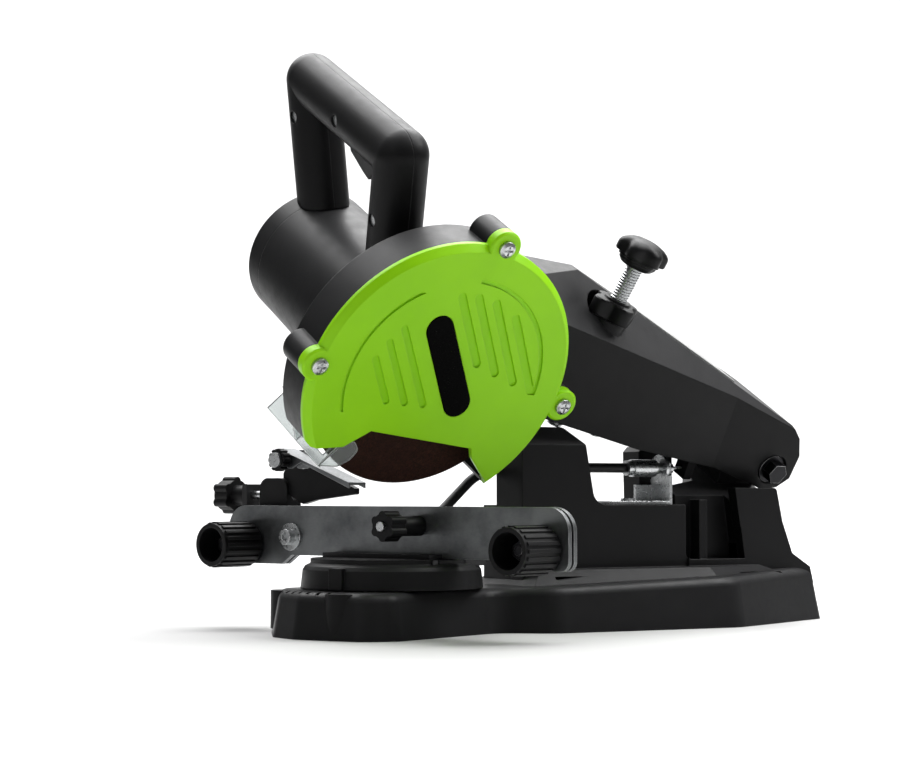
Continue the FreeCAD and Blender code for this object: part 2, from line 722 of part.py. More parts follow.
def pan_screw(name, a, b, near, length, radius):
    """A cross-recessed pan head screw driven in along +y."""
    head = fuse(name + "_body",
                cone(name + "_dome", radius * 0.62, radius, 0.9, (a, near - 2.2, b), "y"),
                rod(name + "_head", radius, 1.3, (a, near - 1.3, b), "y"),
                rod(name + "_shank", 1.9, length, (a, near, b), "y"))
    arms = [box(name + f"_recess{i}", wide, 1.5, high, (a - wide / 2, near - 2.7, b - high / 2))
            for i, (wide, high) in enumerate(((0.9, 4.2), (4.2, 0.9)))]
    return cut(name, head, *arms)


screw_seat = cover_near - 0.02
node("cover_screws", *[pan_screw(f"cover_screw{i}", a, b, screw_seat, 12, screw_head)
                       for i, (a, b) in enumerate(screw_places)], frame=head_frame)

# ---------------------------------------------------------------------------
# Motor housing, end cap and handle (head frame)
# ---------------------------------------------------------------------------
housing = fuse("housing_outer",
               rod("housing_front", motor_front_radius, motor_step - guard_far, (0, guard_far, 0), "y"),
               cone("housing_rear", motor_radius, motor_radius - 0.6, motor_far - motor_step,
                    (0, motor_step, 0), "y"))
housing_room = rod("housing_room", motor_radius - wall, motor_far, (0, guard_far + 8, 0), "y")
bearing_room = rod("bearing_room", 11, 30, (0, guard_far - 1, 0), "y")
vents = [spun(f"housing_vent{i}", Y, 36 + i * 12, box(f"housing_slit{i}", 8, 22, 3, (27, 56, -1.5)))
         for i in range(9)]
node("motor_housing", cut("housing_solid", housing, housing_room, bearing_room, *vents),
     frame=head_frame)
cap_radius = motor_radius - 0.6
cap_round = size("cap_round", 5)
cap_body = fuse("cap_body",
                rod("cap_barrel", cap_radius, cap_depth - cap_round, (0, motor_far, 0), "y"),
                cone("cap_edge", cap_radius, cap_radius - cap_round, cap_round,
                     (0, motor_far + cap_depth - cap_round, 0), "y"))
cap_room = rod("cap_room", cap_radius - wall, cap_depth - cap_round - 0.5, (0, motor_far - 0.5, 0), "y")
cap_pocket = tube("cap_pocket", 12.5, 9.5, cap_depth - cap_round + 5, (0, motor_far - 5, 0), "y")
cap_vents = [spun(f"cap_vent{i}", Y, i * 30, box(f"cap_slit{i}", 11, 12, 2.2, (14, motor_far + 6, -1.1)))
             for i in range(12) if i != 3]
cap_spokes = tube("cap_spokes", cap_radius - 0.5, 12, 2, (0, motor_far + cap_depth - cap_round - 2.4, 0), "y")
cord_z = size("cord_gland_z", -18)
cap_cut = cut("cap_cut", fuse("cap_with_pocket", cut("cap_shell", cap_body, cap_room), cap_pocket, cap_spokes),
              *cap_vents, rod("cap_cord_hole", 4.05, 30, (0, motor_far + 2, cord_z), "y"))
node("motor_end_cap", cap_cut, frame=head_frame)
gland_start = motor_far + cap_depth
gland = fuse("gland_body", rod("gland_plug", 4, 6, (0, gland_start - 6, cord_z), "y"),
             rod("gland_collar", 6, 2, (0, gland_start, cord_z), "y"),
             cone("gland_tail", 4.8, 3.6, 18, (0, gland_start + 2, cord_z), "y"),
             *[rod(f"gland_ring{i}", 5.2 - i * 0.25, 1.6, (0, gland_start + 4 + i * 3.2, cord_z), "y")
               for i in range(5)])
node("cord_gland", cut("gland_solid", gland, rod("gland_bore", 3, 40, (0, gland_start - 8, cord_z), "y")),
     frame=head_frame)

grip_radius = size("grip_radius", 11.5)
grip_wall = size("grip_wall", 2.2)
grip_height = size("grip_height", 80)
grip_near = size("grip_near", 37)
grip_far = size("grip_far", 122)
leg_lean = size("leg_lean", 20)
handle_lean = size("handle_lean", -12)


def handle_form(name, inset):
    """The D-shaped grip: an upright near leg, a bar along the motor and a raked far leg."""
    thick = grip_radius - inset
    leg_length = (grip_height - 16) / cosine(leg_lean)
    pieces = [rod(name + "_near_leg", thick, grip_height - 16, (0, grip_near, 16)),
              rod(name + "_bar", thick, grip_far - grip_near, (0, grip_near, grip_height), "y")]
    for i, along in enumerate((grip_near, grip_far)):
        elbow = doc.addObject("Part::Sphere", f"{name}_elbow{i}")
        bind(elbow, Radius=thick)
        pieces.append(place(elbow, (0, along, grip_height)))
    leg = rod(name + "_far_leg", thick, leg_length, (0, 0, -leg_length))
    pieces.append(place(group(name + "_far_leg_leaned", leg), (0, grip_far, grip_height), X, -leg_lean))
    return fuse(name, *pieces)


motor_cut = [rod("handle_on_front", motor_front_radius, motor_step + 10, (0, -10, 0), "y"),
             rod("handle_on_rear", motor_radius, 80, (0, 40, 0), "y"),
             rod("handle_on_cap", cap_radius - cap_round * 0.4, 60, (0, motor_far, 0), "y")]
trigger_start = grip_near + grip_radius + 4
trigger_length = size("trigger_length", 22)
trigger_slot = box("trigger_slot", 8.6, trigger_length + 0.6, 20,
                   (-4.3, trigger_start - 0.3, grip_height - 26))
handle_shell = cut("handle_shell", handle_form("handle_outer", as_size(0)),
                   handle_form("handle_inner", grip_wall), trigger_slot)
handle_posts = [(grip_near, 52), (grip_near + 40, 80), (grip_far - 6, 66)]
handle_bosses = [rod(f"handle_boss{i}", 2.8, 18, (-9, along, up), "x")
                 for i, (along, up) in enumerate(handle_posts)]
handle_holes = [rod(f"handle_hole{i}", 1.4, 30, (-15, along, up), "x")
                for i, (along, up) in enumerate(handle_posts)]
handle_sinks = [rod(f"handle_sink{i}", 2.7, 8, (-16.9, along, up), "x")
                for i, (along, up) in enumerate(handle_posts)]
handle_whole = cut("handle_whole", fuse("handle_with_bosses", handle_shell, *handle_bosses),
                   *motor_cut, *handle_holes, *handle_sinks)


def leaned(name, *items):
    return place(group(name, *items), (0, 0, 0), Y, handle_lean)


for side, start in (("left", -40), ("right", 0.02)):
    half_space = box(f"handle_{side}_space", 39.98, 200, 160, (start, -20, -30))
    node(f"handle_{side}", leaned(f"handle_{side}_leaned",
                                  common(f"handle_{side}_half", handle_whole, half_space)),
         frame=head_frame)
handle_screws = leaned("handle_screws_leaned", *[
    fuse(f"handle_screw{i}", rod(f"handle_screw_shank{i}", 1.35, 17, (-9.5, along, up), "x"),
         rod(f"handle_screw_head{i}", 2.6, 1.6, (-9 - 1.5, along, up), "x"))
    for i, (along, up) in enumerate(handle_posts)])
trigger_outline = [(trigger_start, grip_height - 8.6), (trigger_start, grip_height - 13),
                   (trigger_start + 3, grip_height - 19), (trigger_start + 9, grip_height - 17.5),
                   (trigger_start + trigger_length, grip_height - 13),
                   (trigger_start + trigger_length, grip_height - 8.6)]
trigger = fuse("trigger_form", pad("trigger_body", "yz", trigger_outline, 8, -4, [(1.6, [1, 2, 3, 4])]),
               box("trigger_flange", 3, trigger_length + 2.4, 1.2,
                   (-1.5, trigger_start - 1.2, grip_height - 9)))
node("trigger", leaned("trigger_leaned", trigger), frame=head_frame)
switch = fuse("switch_solid",
              box("switch_block", 10, 20, 8, (-5, trigger_start + 1, grip_height - 1.6)),
              box("switch_plunger", 4, 6, 3.2, (-2, trigger_start + 8, grip_height - 4.6)))
node("switch", leaned("switch_leaned", switch), frame=head_frame)

# ---------------------------------------------------------------------------
# Arm, hinge and stop screw (head frame)
# ---------------------------------------------------------------------------
side_edge = size("arm_side_edge_height", 42.3)
side_fall = size("arm_side_edge_fall", 0.3)
facet_slope = size("arm_facet_slope", 0.57)
far_edge_lift = size("arm_far_edge_lift", 8)
far_slope = size("arm_far_slope", 1.7)


def arm_side(inset):
    """Side view of the arm, from the motor down to the hinge at its rear."""
    if inset:
        return [(48, 33), (83, 32), (199, -21.5), (206, -27.5), (211.8, -37), (211.2, -60),
                (199, -60), (172, -60), (60, -60), (48, -60)]
    return [(24, 26), (50, 37.5), (84, 35.5), (hinge_x + 3.5, -21), (hinge_x + 9, -27), (hinge_x + 12.5, -36),
            (hinge_x + 11.4, -48), (hinge_x + 6, -53), (hinge_x - 1, -55), (172, -45.5),
            (122, -36), (60, -20), (50, -18), (24, -14)]


def arm_form(name, inset):
    """Side view and plan of the arm in common, with the two upper edges planed off."""
    near = arm_near + inset
    far = arm_far - inset
    side = pad(name + "_side", "xz", arm_side(inset), arm_width + arm_flare + 4 - 2 * inset,
               near - arm_flare - 2)
    plan = pad(name + "_plan", "xy",
               [(20, near), (170, near), (hinge_x + 14, near - arm_flare), (hinge_x + 14, far), (20, far)],
               140, -80)
    edge = side_edge - inset * 1.15
    rise = 40 * facet_slope
    near_facet = straight_prism(name + "_near_facet",
                                [(near - 12, edge - 12 * facet_slope), (near + 40, edge + rise),
                                 (near - 12, edge + rise + 20)],
                                Vector(1, 0, -side_fall.value), 260, (0, 0, 0))
    far_edge = edge + far_edge_lift
    far_facet = straight_prism(name + "_far_facet",
                               [(far + 12, far_edge - 12 * far_slope), (far + 12, far_edge + 80),
                                (far - 30, far_edge + 30 * far_slope), (far, far_edge)],
                               Vector(1, 0, -side_fall.value), 260, (0, 0, 0))
    return cut(name, common(name + "_block", side, plan), near_facet, far_facet)


stop_x = size("stop_tip_x", 83)
stop_y = size("stop_y", 12)
stop_z = size("stop_tip_z", -31.1)
stop_lean = size("stop_lean", 11.5)
stop_radius = size("stop_rod_radius", 4)


def stop_frame(name, *items):
    return place(group(name, *items), (stop_x, stop_y, stop_z), Y, stop_lean)


stop_boss = stop_frame("stop_boss_leaned", rod("stop_boss", 8.5, 42, (0, 0, 13)))
stop_bore = stop_frame("stop_bore_leaned", fuse(
    "stop_bore_all", rod("stop_bore", stop_radius + running_gap, 120, (0, 0, -20)),
    rod("stop_spotface", 12.6, 40, (0, 0, 54))))
hinge_boss_far = arm_far - wall
cheek_bosses = fuse("hinge_bosses",
                    rod("hinge_boss_near", 10, 6.3, (hinge_x, -2, hinge_z), "y"),
                    rod("hinge_boss_far", 10, arm_far - tongue_far - 1.5, (hinge_x, tongue_far + 0.5, hinge_z), "y"))
hinge_recess = rod("hinge_recess", 7.6, 20, (hinge_x, -3.5 - 20, hinge_z), "y")
hinge_bore = rod("hinge_bore", hinge_bolt_radius + running_gap, 80, (hinge_x, -20, hinge_z), "y")
end_slot = box("arm_end_slot", 40, tongue_far - tongue_near + 1, 30,
               (hinge_x - 22, tongue_near - 0.5, -47 - 30))
end_room = rod("arm_end_room", 8, tongue_far - tongue_near + 1, (hinge_x, tongue_near - 0.5, hinge_z), "y")
arm_hollow = arm_form("arm_hollow", wall)
arm_ribs = [box(f"arm_rib{i}", 2, arm_width - 4, 22, (a, arm_near + 2, b))
            for i, (a, b) in enumerate(((100, -16), (140, -34)))]
arm_ribs_in = common("arm_ribs_in", fuse("arm_ribs_all", *arm_ribs), arm_form("arm_rib_limit", as_size(0.4)))
arm_shell = cut("arm_shell_cut", arm_form("arm_outer", 0), arm_hollow)
arm_solid = cut("arm_solid", fuse("arm_with_bosses", arm_shell, cheek_bosses, stop_boss, arm_ribs_in),
                stop_bore, hinge_recess, hinge_bore, end_slot, end_room,
                rod("arm_on_guard", guard_radius + 0.1, 80, (0, guard_far - 80 + 0.05, 0), "y"),
                rod("arm_on_motor", motor_front_radius, 60, (0, 0, 0), "y"),
                *[rod(f"arm_on_boss{i}", boss_radius + 0.1, 30, (a, guard_split - 22, b), "y")
                  for i, (a, b) in enumerate(screw_places)])
node("arm_shell", arm_solid, frame=head_frame)

cover_low = [(62, -20.6), (122, -36.2), (166, -44.4), (166, -42.3), (122, -34.1), (62, -18.5)]
bottom_plate = pad("bottom_plate", "xz", cover_low, arm_width - 2 * wall - 0.2, arm_near + wall + 0.1)
bottom_holes = [stop_frame("bottom_hole_leaned", rod("bottom_hole", 5, 40, (0, 0, -20)))]
cover_lug = cut("cover_lug", box("lug_block", 4.5, 8, 12, (160, 4, -54.5)),
                rod("lug_hole", 0.9, 10, (156, 8.2, -49.9), "x"))
node("arm_bottom_cover", cut("bottom_cover_solid", fuse("bottom_cover_body", bottom_plate, cover_lug),
                             *bottom_holes), frame=head_frame)
bottom_screws = [rod(f"bottom_screw{i}", 2.8, 1.4, (a, b, c))
                 for i, (a, b, c) in enumerate(((104, 8, -33.7), (104, 32, -33.7), (146, 20, -43)))]

panel_fall = size("panel_fall", 24.76)
panel_outline = [(12, 25.5), (48, 17), (82, 8), (84, 37), (12, 37)]
panel = pad("panel_plate", "xy", panel_outline, 0.7, 0, [(1.5, [0, 2, 3, 4])])
panel_placed = place(group("panel_placed", panel), (100, 0, 28.18), Y, panel_fall)
node("arm_panel", panel_placed, frame=head_frame)

stop_length = size("stop_rod_length", 88)
stop_bar = fuse("stop_rod_bar",
                cone("stop_rod_tip", stop_radius - 1.2, stop_radius, 1.2, (0, 0, 0)),
                rod("stop_rod_stem", stop_radius, stop_length - 1.2, (0, 0, 1.2)))
node("stop_rod", stop_frame("stop_rod_leaned", stop_bar), frame=head_frame)


def lobed(name, lobes, hub, lobe, reach, height, start):
    """A knob with round lobes about its hub, hollowed beneath a low domed top."""
    pieces = [rod(name + "_hub", hub, height, (0, 0, start)),
              cone(name + "_dome", hub, hub * 0.6, 1.6, (0, 0, start + height))]
    for i in range(lobes):
        arm = rod(f"{name}_lobe{i}", lobe, height, (reach, 0, 0))
        pieces.append(place(group(f"{name}_lobe_turned{i}", arm), (0, 0, start), Z, i * 360 / lobes))
    return fuse(name, *pieces)


star = fuse("star_with_collar",
            lobed("star_form", 6, as_size(9.2), as_size(3.4), as_size(8.4), 7.5, stop_length - 5),
            rod("star_collar", 6.2, 4.2, (0, 0, stop_length - 9)))
node("stop_knob", stop_frame("stop_knob_leaned", cut(
    "star_solid", star, rod("star_bore", stop_radius + 0.02, 11, (0, 0, stop_length - 10.98)))),
    frame=head_frame)
lock = lobed("lock_form", 4, as_size(6.9), as_size(3.6), as_size(8.2), 8.2, as_size(54.06))
node("lock_knob", stop_frame("lock_knob_leaned", cut(
    "lock_solid", lock, rod("lock_bore", stop_radius + running_gap, 20, (0, 0, 50)))), frame=head_frame)

bolt_near = as_size(-4.5)
hex_head = prism("hinge_hex", 6, 5.2, 5.3, (hinge_x, bolt_near - 5.3, hinge_z), "y")
bolt_rod = rod("hinge_bolt_rod", hinge_bolt_radius, arm_far - bolt_near + 9, (hinge_x, bolt_near, hinge_z), "y")
node("hinge_bolt", fuse("hinge_bolt_solid", hex_head, bolt_rod), frame=head_frame)
hinge_washer = tube("hinge_washer_ring", 6.8, hinge_bolt_radius + 0.02, 0.95,
                    (hinge_x, bolt_near + 0.02, hinge_z), "y")
nut_start = arm_far + 0.02
node("hinge_nut", hinge_washer, cut("hinge_nut_solid",
                      fuse("hinge_nut_body",
                           prism("hinge_nut_hex", 6, 5.8, 5.4, (hinge_x, nut_start + 1.2, hinge_z), "y"),
                           rod("hinge_nut_flange", 8, 1.4, (hinge_x, nut_start, hinge_z), "y")),
                      rod("hinge_nut_hole", hinge_bolt_radius + 0.02, 12, (hinge_x, nut_start - 1, hinge_z), "y")),
     frame=head_frame)
node("hinge_bush", tube("hinge_bush_ring", bush_radius, hinge_bolt_radius + running_gap,
                        tongue_far - tongue_near, (hinge_x, tongue_near, hinge_z), "y"), frame=head_frame)

# ---------------------------------------------------------------------------
# Eye shield (head frame)
# ---------------------------------------------------------------------------
shield_x = size("shield_x", -43)
shield_z = size("shield_z", -31)
shield_sheet = pad("shield_sheet", "xz",
                   [(-44.2, -41.5), (-43, -42.2), (-35.6, -32.6), (-36.8, -31.9)], 50, -9)
shield_flap = pad("shield_flap", "xz",
                  [(-44.2, -41.5), (-34.7, -42), (-29.6, -38.7), (-26.9, -34), (-30, -30), (-36.8, -31.9)],
                  1.2, -9, [(2.5, [1, 2, 3]), (1.5, [4])])
shield_ear = pad("shield_ear", "xz",
                 [(-44.2, -41.5), (-36.8, -31.9), (-39, -26.5), (-46, -27), (-48, -33)], 1.2, 11.6,
                 [(2, [2, 3])])
shield_slot = rod("shield_slot", wheel_radius + 2, 17.4, (0, -6, 0), "y")
shield_pin = rod("shield_pin", 1.55, 20, (shield_x, 5, shield_z), "y")
node("eye_shield", cut("shield_solid", fuse("shield_body", shield_sheet, shield_flap, shield_ear),
                       shield_slot, shield_pin), frame=head_frame)
bracket_plate = pad("shield_bracket_plate", "xz",
                    [(-58, -16), (-50, -12), (-30, -14), (-36, -28), (-40, -36), (-47, -35)],
                    2.4, guard_far + 0.05, [(2, [4, 5])])
node("shield_bracket", cut("shield_bracket_solid", bracket_plate,
                           rod("shield_bracket_hole", 1.5, 20, (shield_x, 5, shield_z), "y"),
                           rod("shield_bracket_motor", motor_front_radius, 20, (0, 0, 0), "y")),
     frame=head_frame)
shield_screw = fuse("shield_screw_solid",
                    rod("shield_screw_shank", 1.5, 5, (shield_x, guard_far + 0.2, shield_z), "y"),
                    rod("shield_screw_head", 3.2, 1.8, (shield_x, 12.9, shield_z), "y"))
node("housing_screws", handle_screws, shield_screw, *bottom_screws, frame=head_frame)

# ---------------------------------------------------------------------------
# Vise (its own frame: x across the jaws to the rear, y along them to the left end)
# ---------------------------------------------------------------------------
table_shoulder = table_bottom + table_height - 4.6
table_top = table_bottom + table_height
foot_depth = size("carrier_foot_depth", 3)
carrier_base = table_top - foot_depth
table = fuse("table_body",
             cone("table_disc", table_radius, table_radius - 0.9, table_height - 4.6, (0, 0, table_bottom)),
             cone("table_shoulder_1", table_radius - 0.9, table_radius - 2, 1.6, (0, 0, table_shoulder)),
             cone("table_shoulder_2", table_radius - 2, table_radius - 4.2, 1.2,
                  (0, 0, table_shoulder + 1.6)),
             rod("table_top", table_radius - 4.2, 1.8, (0, 0, table_top - 1.8)),
             place(group("table_pointer_turned", box("table_pointer", 4.4, 6.5, table_height - 3.5,
                                                     (table_radius - 3, -3.25, table_bottom))),
                   (0, 0, 0), Z, size("pointer_angle", 186)))
node("swivel_table", cut("table_solid", table, rod("table_hole", pivot_radius + 0.02, 30, (0, 0, 15)),
                         box("table_recess", 34.2, 66.2, 5, (-12.1, -33.1, carrier_base))),
     frame=vise_frame)
pivot_nut = cut("pivot_nut_solid",
                fuse("pivot_nut_body", prism("pivot_nut_hex", 6, 7.4, 2.6, (0, 0, 2)),
                     rod("pivot_nut_flange", 9, 1.3, (0, 0, 4.6))),
                rod("pivot_nut_hole", pivot_radius + 0.02, 12, (0, 0, 0)))
node("pivot_bolt", pivot_nut, fuse("pivot_bolt_solid",
                        rod("pivot_bolt_rod", pivot_radius, carrier_base + 2.6 - 2, (0, 0, 2)),
                        rod("pivot_bolt_head", 7, 1.7, (0, 0, carrier_base + 1.1))), frame=vise_frame)

half_gap = chain_gap / 2
carrier = fuse("carrier_body",
               box("carrier_foot", 34, 66, foot_depth, (-12, -33, carrier_base)),
               box("carrier_tower", 12, 60, 15, (half_gap + jaw_thick + 1.6, -30, carrier_base + 2.5)),
               box("carrier_front", 8, 60, 2.5, (-half_gap - jaw_thick - 8, -30, carrier_base + 2.5)))
carrier_slot = box("carrier_slot", 2 * jaw_thick + chain_gap + 1.6, 200, 20,
                   (-half_gap - jaw_thick - 0.02, -100, jaw_bottom - 0.05))
carrier_hole = rod("carrier_pivot", pivot_radius + 0.02, 30, (0, 0, carrier_base - 2))
bolt_room = rod("carrier_bolt_room", 7.1, 30, (0, 0, carrier_base + 1.1))
pin_radius = size("guide_pin_radius", 2)
pin_places = [(24, 40), (-24, 40)]
carrier_pins = [rod(f"carrier_pin_hole{i}", pin_radius + 0.02, 40, (-20, a, b), "x")
                for i, (a, b) in enumerate(pin_places)]
wire_hole = rod("carrier_wire_hole", 1.2, 40, (0, 4, 43), "x")
node("jaw_carrier", cut("carrier_solid", carrier, carrier_slot, carrier_hole, bolt_room, wire_hole,
                        *carrier_pins), frame=vise_frame)

knob_places = [(82.5, 36.5), (-82.5, 36.5)]
clamp_y = size("clamp_bolt_y", 56)
clamp_z = size("clamp_bolt_z", 40)
middle_y = size("middle_knob_y", -17.5)
middle_z = size("middle_knob_z", 45.5)


def jaw(name, start, hole, hole_start):
    outline = [(-jaw_half, jaw_end_bottom), (-62, jaw_end_bottom), (-56, jaw_bottom), (56, jaw_bottom),
               (62, jaw_end_bottom), (jaw_half, jaw_end_bottom), (jaw_half, jaw_top), (-jaw_half, jaw_top)]
    plate = pad(name + "_plate", "yz", outline, jaw_thick, start, [(10, [6, 7]), (4, [0, 5])])
    holes = [rod(f"{name}_hole{i}", hole, 12, (hole_start, a, b), "x")
             for i, (a, b) in enumerate(pin_places)]
    bolts = [rod(f"{name}_bolt{i}", 2.05, 12, (start - 5, a, b), "x")
             for i, (a, b) in enumerate(knob_places + [(middle_y, middle_z), (clamp_y, clamp_z)])]
    return cut(name, plate, *holes, *bolts)


pin_start = -half_gap - jaw_thick + 0.6
node("front_jaw", jaw("front_jaw_solid", -half_gap - jaw_thick, pin_radius + 0.02, pin_start - 0.02),
     frame=vise_frame)
node("rear_jaw", jaw("rear_jaw_solid", half_gap, pin_radius + running_gap, half_gap - 5),
     frame=vise_frame)
node("guide_pins", *[rod(f"guide_pin{i}", pin_radius, 14.2, (pin_start, a, b), "x")
                     for i, (a, b) in enumerate(pin_places)], frame=vise_frame)

knob_near = size("ribbed_knob_near", -26)
knob_radius = size("ribbed_knob_radius", 10)
knob_far = -half_gap - jaw_thick - 0.3


def ribbed_knob(name, a, b):
    """A hollow knob with grip ribs around it and a floor at its far end."""
    barrel = rod(name + "_barrel", knob_radius - 0.7, knob_far - knob_near, (knob_near, a, b), "x")
    ribs = [box(f"{name}_rib{i}", knob_far - knob_near - 3, 1.5, 1.6,
                (knob_near + 1.5, -0.75, knob_radius - 1.6)) for i in range(20)]
    placed = [place(group(f"{name}_rib_turned{i}", rib), (0, a, b), X, i * 18)
              for i, rib in enumerate(ribs)]
    return cut(name, fuse(name + "_body", barrel, *placed),
               rod(name + "_room", knob_radius - 2.6, knob_far - knob_near - 5, (knob_near - 1, a, b), "x"),
               rod(name + "_bore", 2.05, 40, (knob_near, a, b), "x"))


for label, (a, b) in zip(("left_knob", "right_knob"), knob_places):
    node(label, ribbed_knob(label + "_form", a, b), frame=vise_frame)
knob_bolts = [
    fuse(f"knob_bolt{i}", rod(f"knob_bolt_rod{i}", 2, knob_far - knob_near, (knob_near + 7, a, b), "x"),
         prism(f"knob_bolt_head{i}", 6, 4, 3, (knob_near + 8, a, b), "x"))
    for i, (a, b) in enumerate(knob_places)]

hub_near = size("middle_knob_near", -26)
middle_lobes = [rod(f"middle_lobe{i}", 1.9, 9, (hub_near, 0, 4.4), "x") for i in range(6)]
middle_turned = [place(group(f"middle_lobe_turned{i}", lobe), (0, middle_y, middle_z), X, i * 60)
                 for i, lobe in enumerate(middle_lobes)]
middle_form = fuse("middle_form", rod("middle_head", 5.2, 9, (hub_near, middle_y, middle_z), "x"),
                   rod("middle_hub", 4.2, knob_far - hub_near, (hub_near, middle_y, middle_z), "x"),
                   *middle_turned)
node("middle_knob", cut("middle_solid", middle_form,
                        rod("middle_bore", 2.05, 60, (hub_near - 5, middle_y, middle_z), "x")),
     frame=vise_frame)
middle_stud = rod("middle_stud_rod", 2, 28.5, (hub_near - 1.4, middle_y, middle_z), "x")
node("knob_bolts", *knob_bolts, frame=vise_frame)
bolt_face = -half_gap - jaw_thick
clamp_body = fuse("clamp_body",
                  rod("clamp_head", 3.4, 3.4, (bolt_face - 1.2 - 3.4, clamp_y, clamp_z), "x"),
                  rod("clamp_shank", 2, 5, (bolt_face - 1.3, clamp_y, clamp_z), "x"))
clamp_washer = tube("clamp_washer_ring", 6, 2.05, 1.15, (bolt_face - 1.18, clamp_y, clamp_z), "x")
node("clamp_screw", clamp_washer, middle_stud,
     cut("clamp_solid", clamp_body,
         prism("clamp_socket", 6, 1.9, 2.2, (bolt_face - 5, clamp_y, clamp_z), "x")),
     frame=vise_frame)

# ---------------------------------------------------------------------------
# Chain stop at the left end of the vise (vise frame)
# ---------------------------------------------------------------------------
pin_y = size("pawl_pin_y", 57)
pin_z = size("pawl_pin_z", 73.4)
pawl_half = size("pawl_half_width", 5.5)
pawl_sheet = size("pawl_sheet", 1.2)
arm_near_x = pawl_half + 0.7
stop_near = half_gap + jaw_thick + 1.6
rail = fuse("stop_rail_body",
            box("rail_plate", 2.4, 66, 9, (stop_near, 28, 37)),
            box("rail_tab", 10, 3, 26, (stop_near, 91, 37)))
rail_hole = rod("rail_screw_hole", 2.05, 20, (stop_near + 5, 84, 58), "y")
rail_slot = box("rail_tower_gap", 4, 30.05, 20, (stop_near - 1, 0, 30))
node("stop_rail", cut("stop_rail_solid", rail, rail_hole, rail_slot), frame=vise_frame)

carriage_near = stop_near + 2.5
carriage_low = size("carriage_low", 49)
carriage = fuse("carriage_body",
                pad("carriage_block", "yz", [(66, carriage_low), (83, carriage_low), (83, 65.7), (66, 65.7)],
                    9, stop_near, [(5, [2, 3])]),
                box("carriage_foot", 5, 12, 12, (stop_near + 2.45, 68, 39)))
bracket_outline = [(27, 58.5), (50, 56), (58, 54.2), (70, 60), (70, 68), (pin_y + 4, pin_z + 4.6),
                   (pin_y - 3, pin_z + 4.6), (pin_y - 8, pin_z - 3.6), (27, 61)]
pawl_arm = pad("pawl_arm", "yz", bracket_outline, 3, arm_near_x, [(2, [4, 5]), (3, [6]), (0.8, [0, 8])])
carriage_holes = [rod("carriage_screw_hole", 2.05, 40, (stop_near + 5, 60, 58), "y"),
                  rod("carriage_pin_hole", 2.02, 30, (-5, pin_y, pin_z), "x")]
node("stop_carriage", cut("carriage_solid", fuse("carriage_whole", carriage, pawl_arm),
                          *carriage_holes), frame=vise_frame)
feed_x = stop_near + 5
feed_y = size("feed_knob_y", 102)
node("feed_screw", rod("feed_screw_rod", 2, 43, (feed_x, 67, 58), "y"), frame=vise_frame)
feed_lobes = [rod(f"feed_lobe{i}", 2, 8, (0, 0, 6.4), "y") for i in range(6)]
feed_turned = [place(group(f"feed_lobe_turned{i}", lobe), (feed_x, feed_y, 58), Y, i * 60)
               for i, lobe in enumerate(feed_lobes)]
feed_form = fuse("feed_form", rod("feed_hub", 7, 8, (feed_x, feed_y, 58), "y"),
                 rod("feed_collar", 4.5, feed_y - 94.2, (feed_x, 94.3, 58), "y"), *feed_turned)
node("feed_knob", cut("feed_solid", feed_form, rod("feed_bore", 2.02, 30, (feed_x, 80, 58), "y")),
     frame=vise_frame)

tip_y = size("pawl_tip_y", 20)
tip_z = size("pawl_tip_z", 63.6)
heel_y = pin_y + 5.1
heel_z = pin_z + 5.3
pawl_top = pad("pawl_top", "yz",
               [(tip_y, tip_z), (heel_y, heel_z), (heel_y, heel_z - pawl_sheet), (tip_y, tip_z - pawl_sheet)],
               2 * pawl_half, -pawl_half)
ear_outline = [(tip_y, tip_z - 0.2), (heel_y, heel_z - 0.2), (pin_y + 4, pin_z + 1), (pin_y + 2.5, pin_z - 3.6),
               (pin_y - 3.5, pin_z - 3.6), (pin_y - 9, pin_z - 1.2), (tip_y, tip_z - 2.4)]
near_ear = pad("pawl_near_ear", "yz", ear_outline, pawl_sheet, -pawl_half, [(1.5, [2, 3, 4])])
far_ear = pad("pawl_far_ear", "yz", ear_outline, pawl_sheet, pawl_half - pawl_sheet, [(1.5, [2, 3, 4])])
pawl_solid = cut("pawl_solid", fuse("pawl_body", pawl_top, near_ear, far_ear),
                 rod("pawl_hole", 2.05, 20, (-pawl_half - 5, pin_y, pin_z), "x"))
node("chain_pawl", pawl_solid, frame=vise_frame)
pin_head = size("pawl_pin_near", -13)
pawl_washer = tube("pawl_washer_ring", 3.8, 2.02, 0.6, (pawl_half + 0.05, pin_y, pin_z), "x")
node("pawl_pin", pawl_washer,
     fuse("pawl_pin_body",
          rod("pawl_pin_rod", 2, 22.4, (pin_head + 0.5, pin_y, pin_z), "x"),
          rod("pawl_pin_head", 3.3, 1.4, (pin_head, pin_y, pin_z), "x")),
     frame=vise_frame)
nut_near_x = pin_head + 1.45
thumb_ribs = [box(f"thumb_rib{i}", 4.2, 1.3, 1.4, (0, -0.65, 3.5)) for i in range(12)]
thumb_turned = [place(group(f"thumb_rib_turned{i}", rib), (nut_near_x, pin_y, pin_z), X, i * 30)
                for i, rib in enumerate(thumb_ribs)]
thumb_form = fuse("thumb_form", rod("thumb_hub", 4, 4.2, (nut_near_x, pin_y, pin_z), "x"),
                  rod("thumb_collar", 3, -pawl_half - 0.05 - nut_near_x, (nut_near_x, pin_y, pin_z), "x"),
                  *thumb_turned)
node("pawl_nut", cut("thumb_solid", thumb_form, rod("thumb_bore", 2.02, 20, (pin_head, pin_y, pin_z), "x")),
     frame=vise_frame)

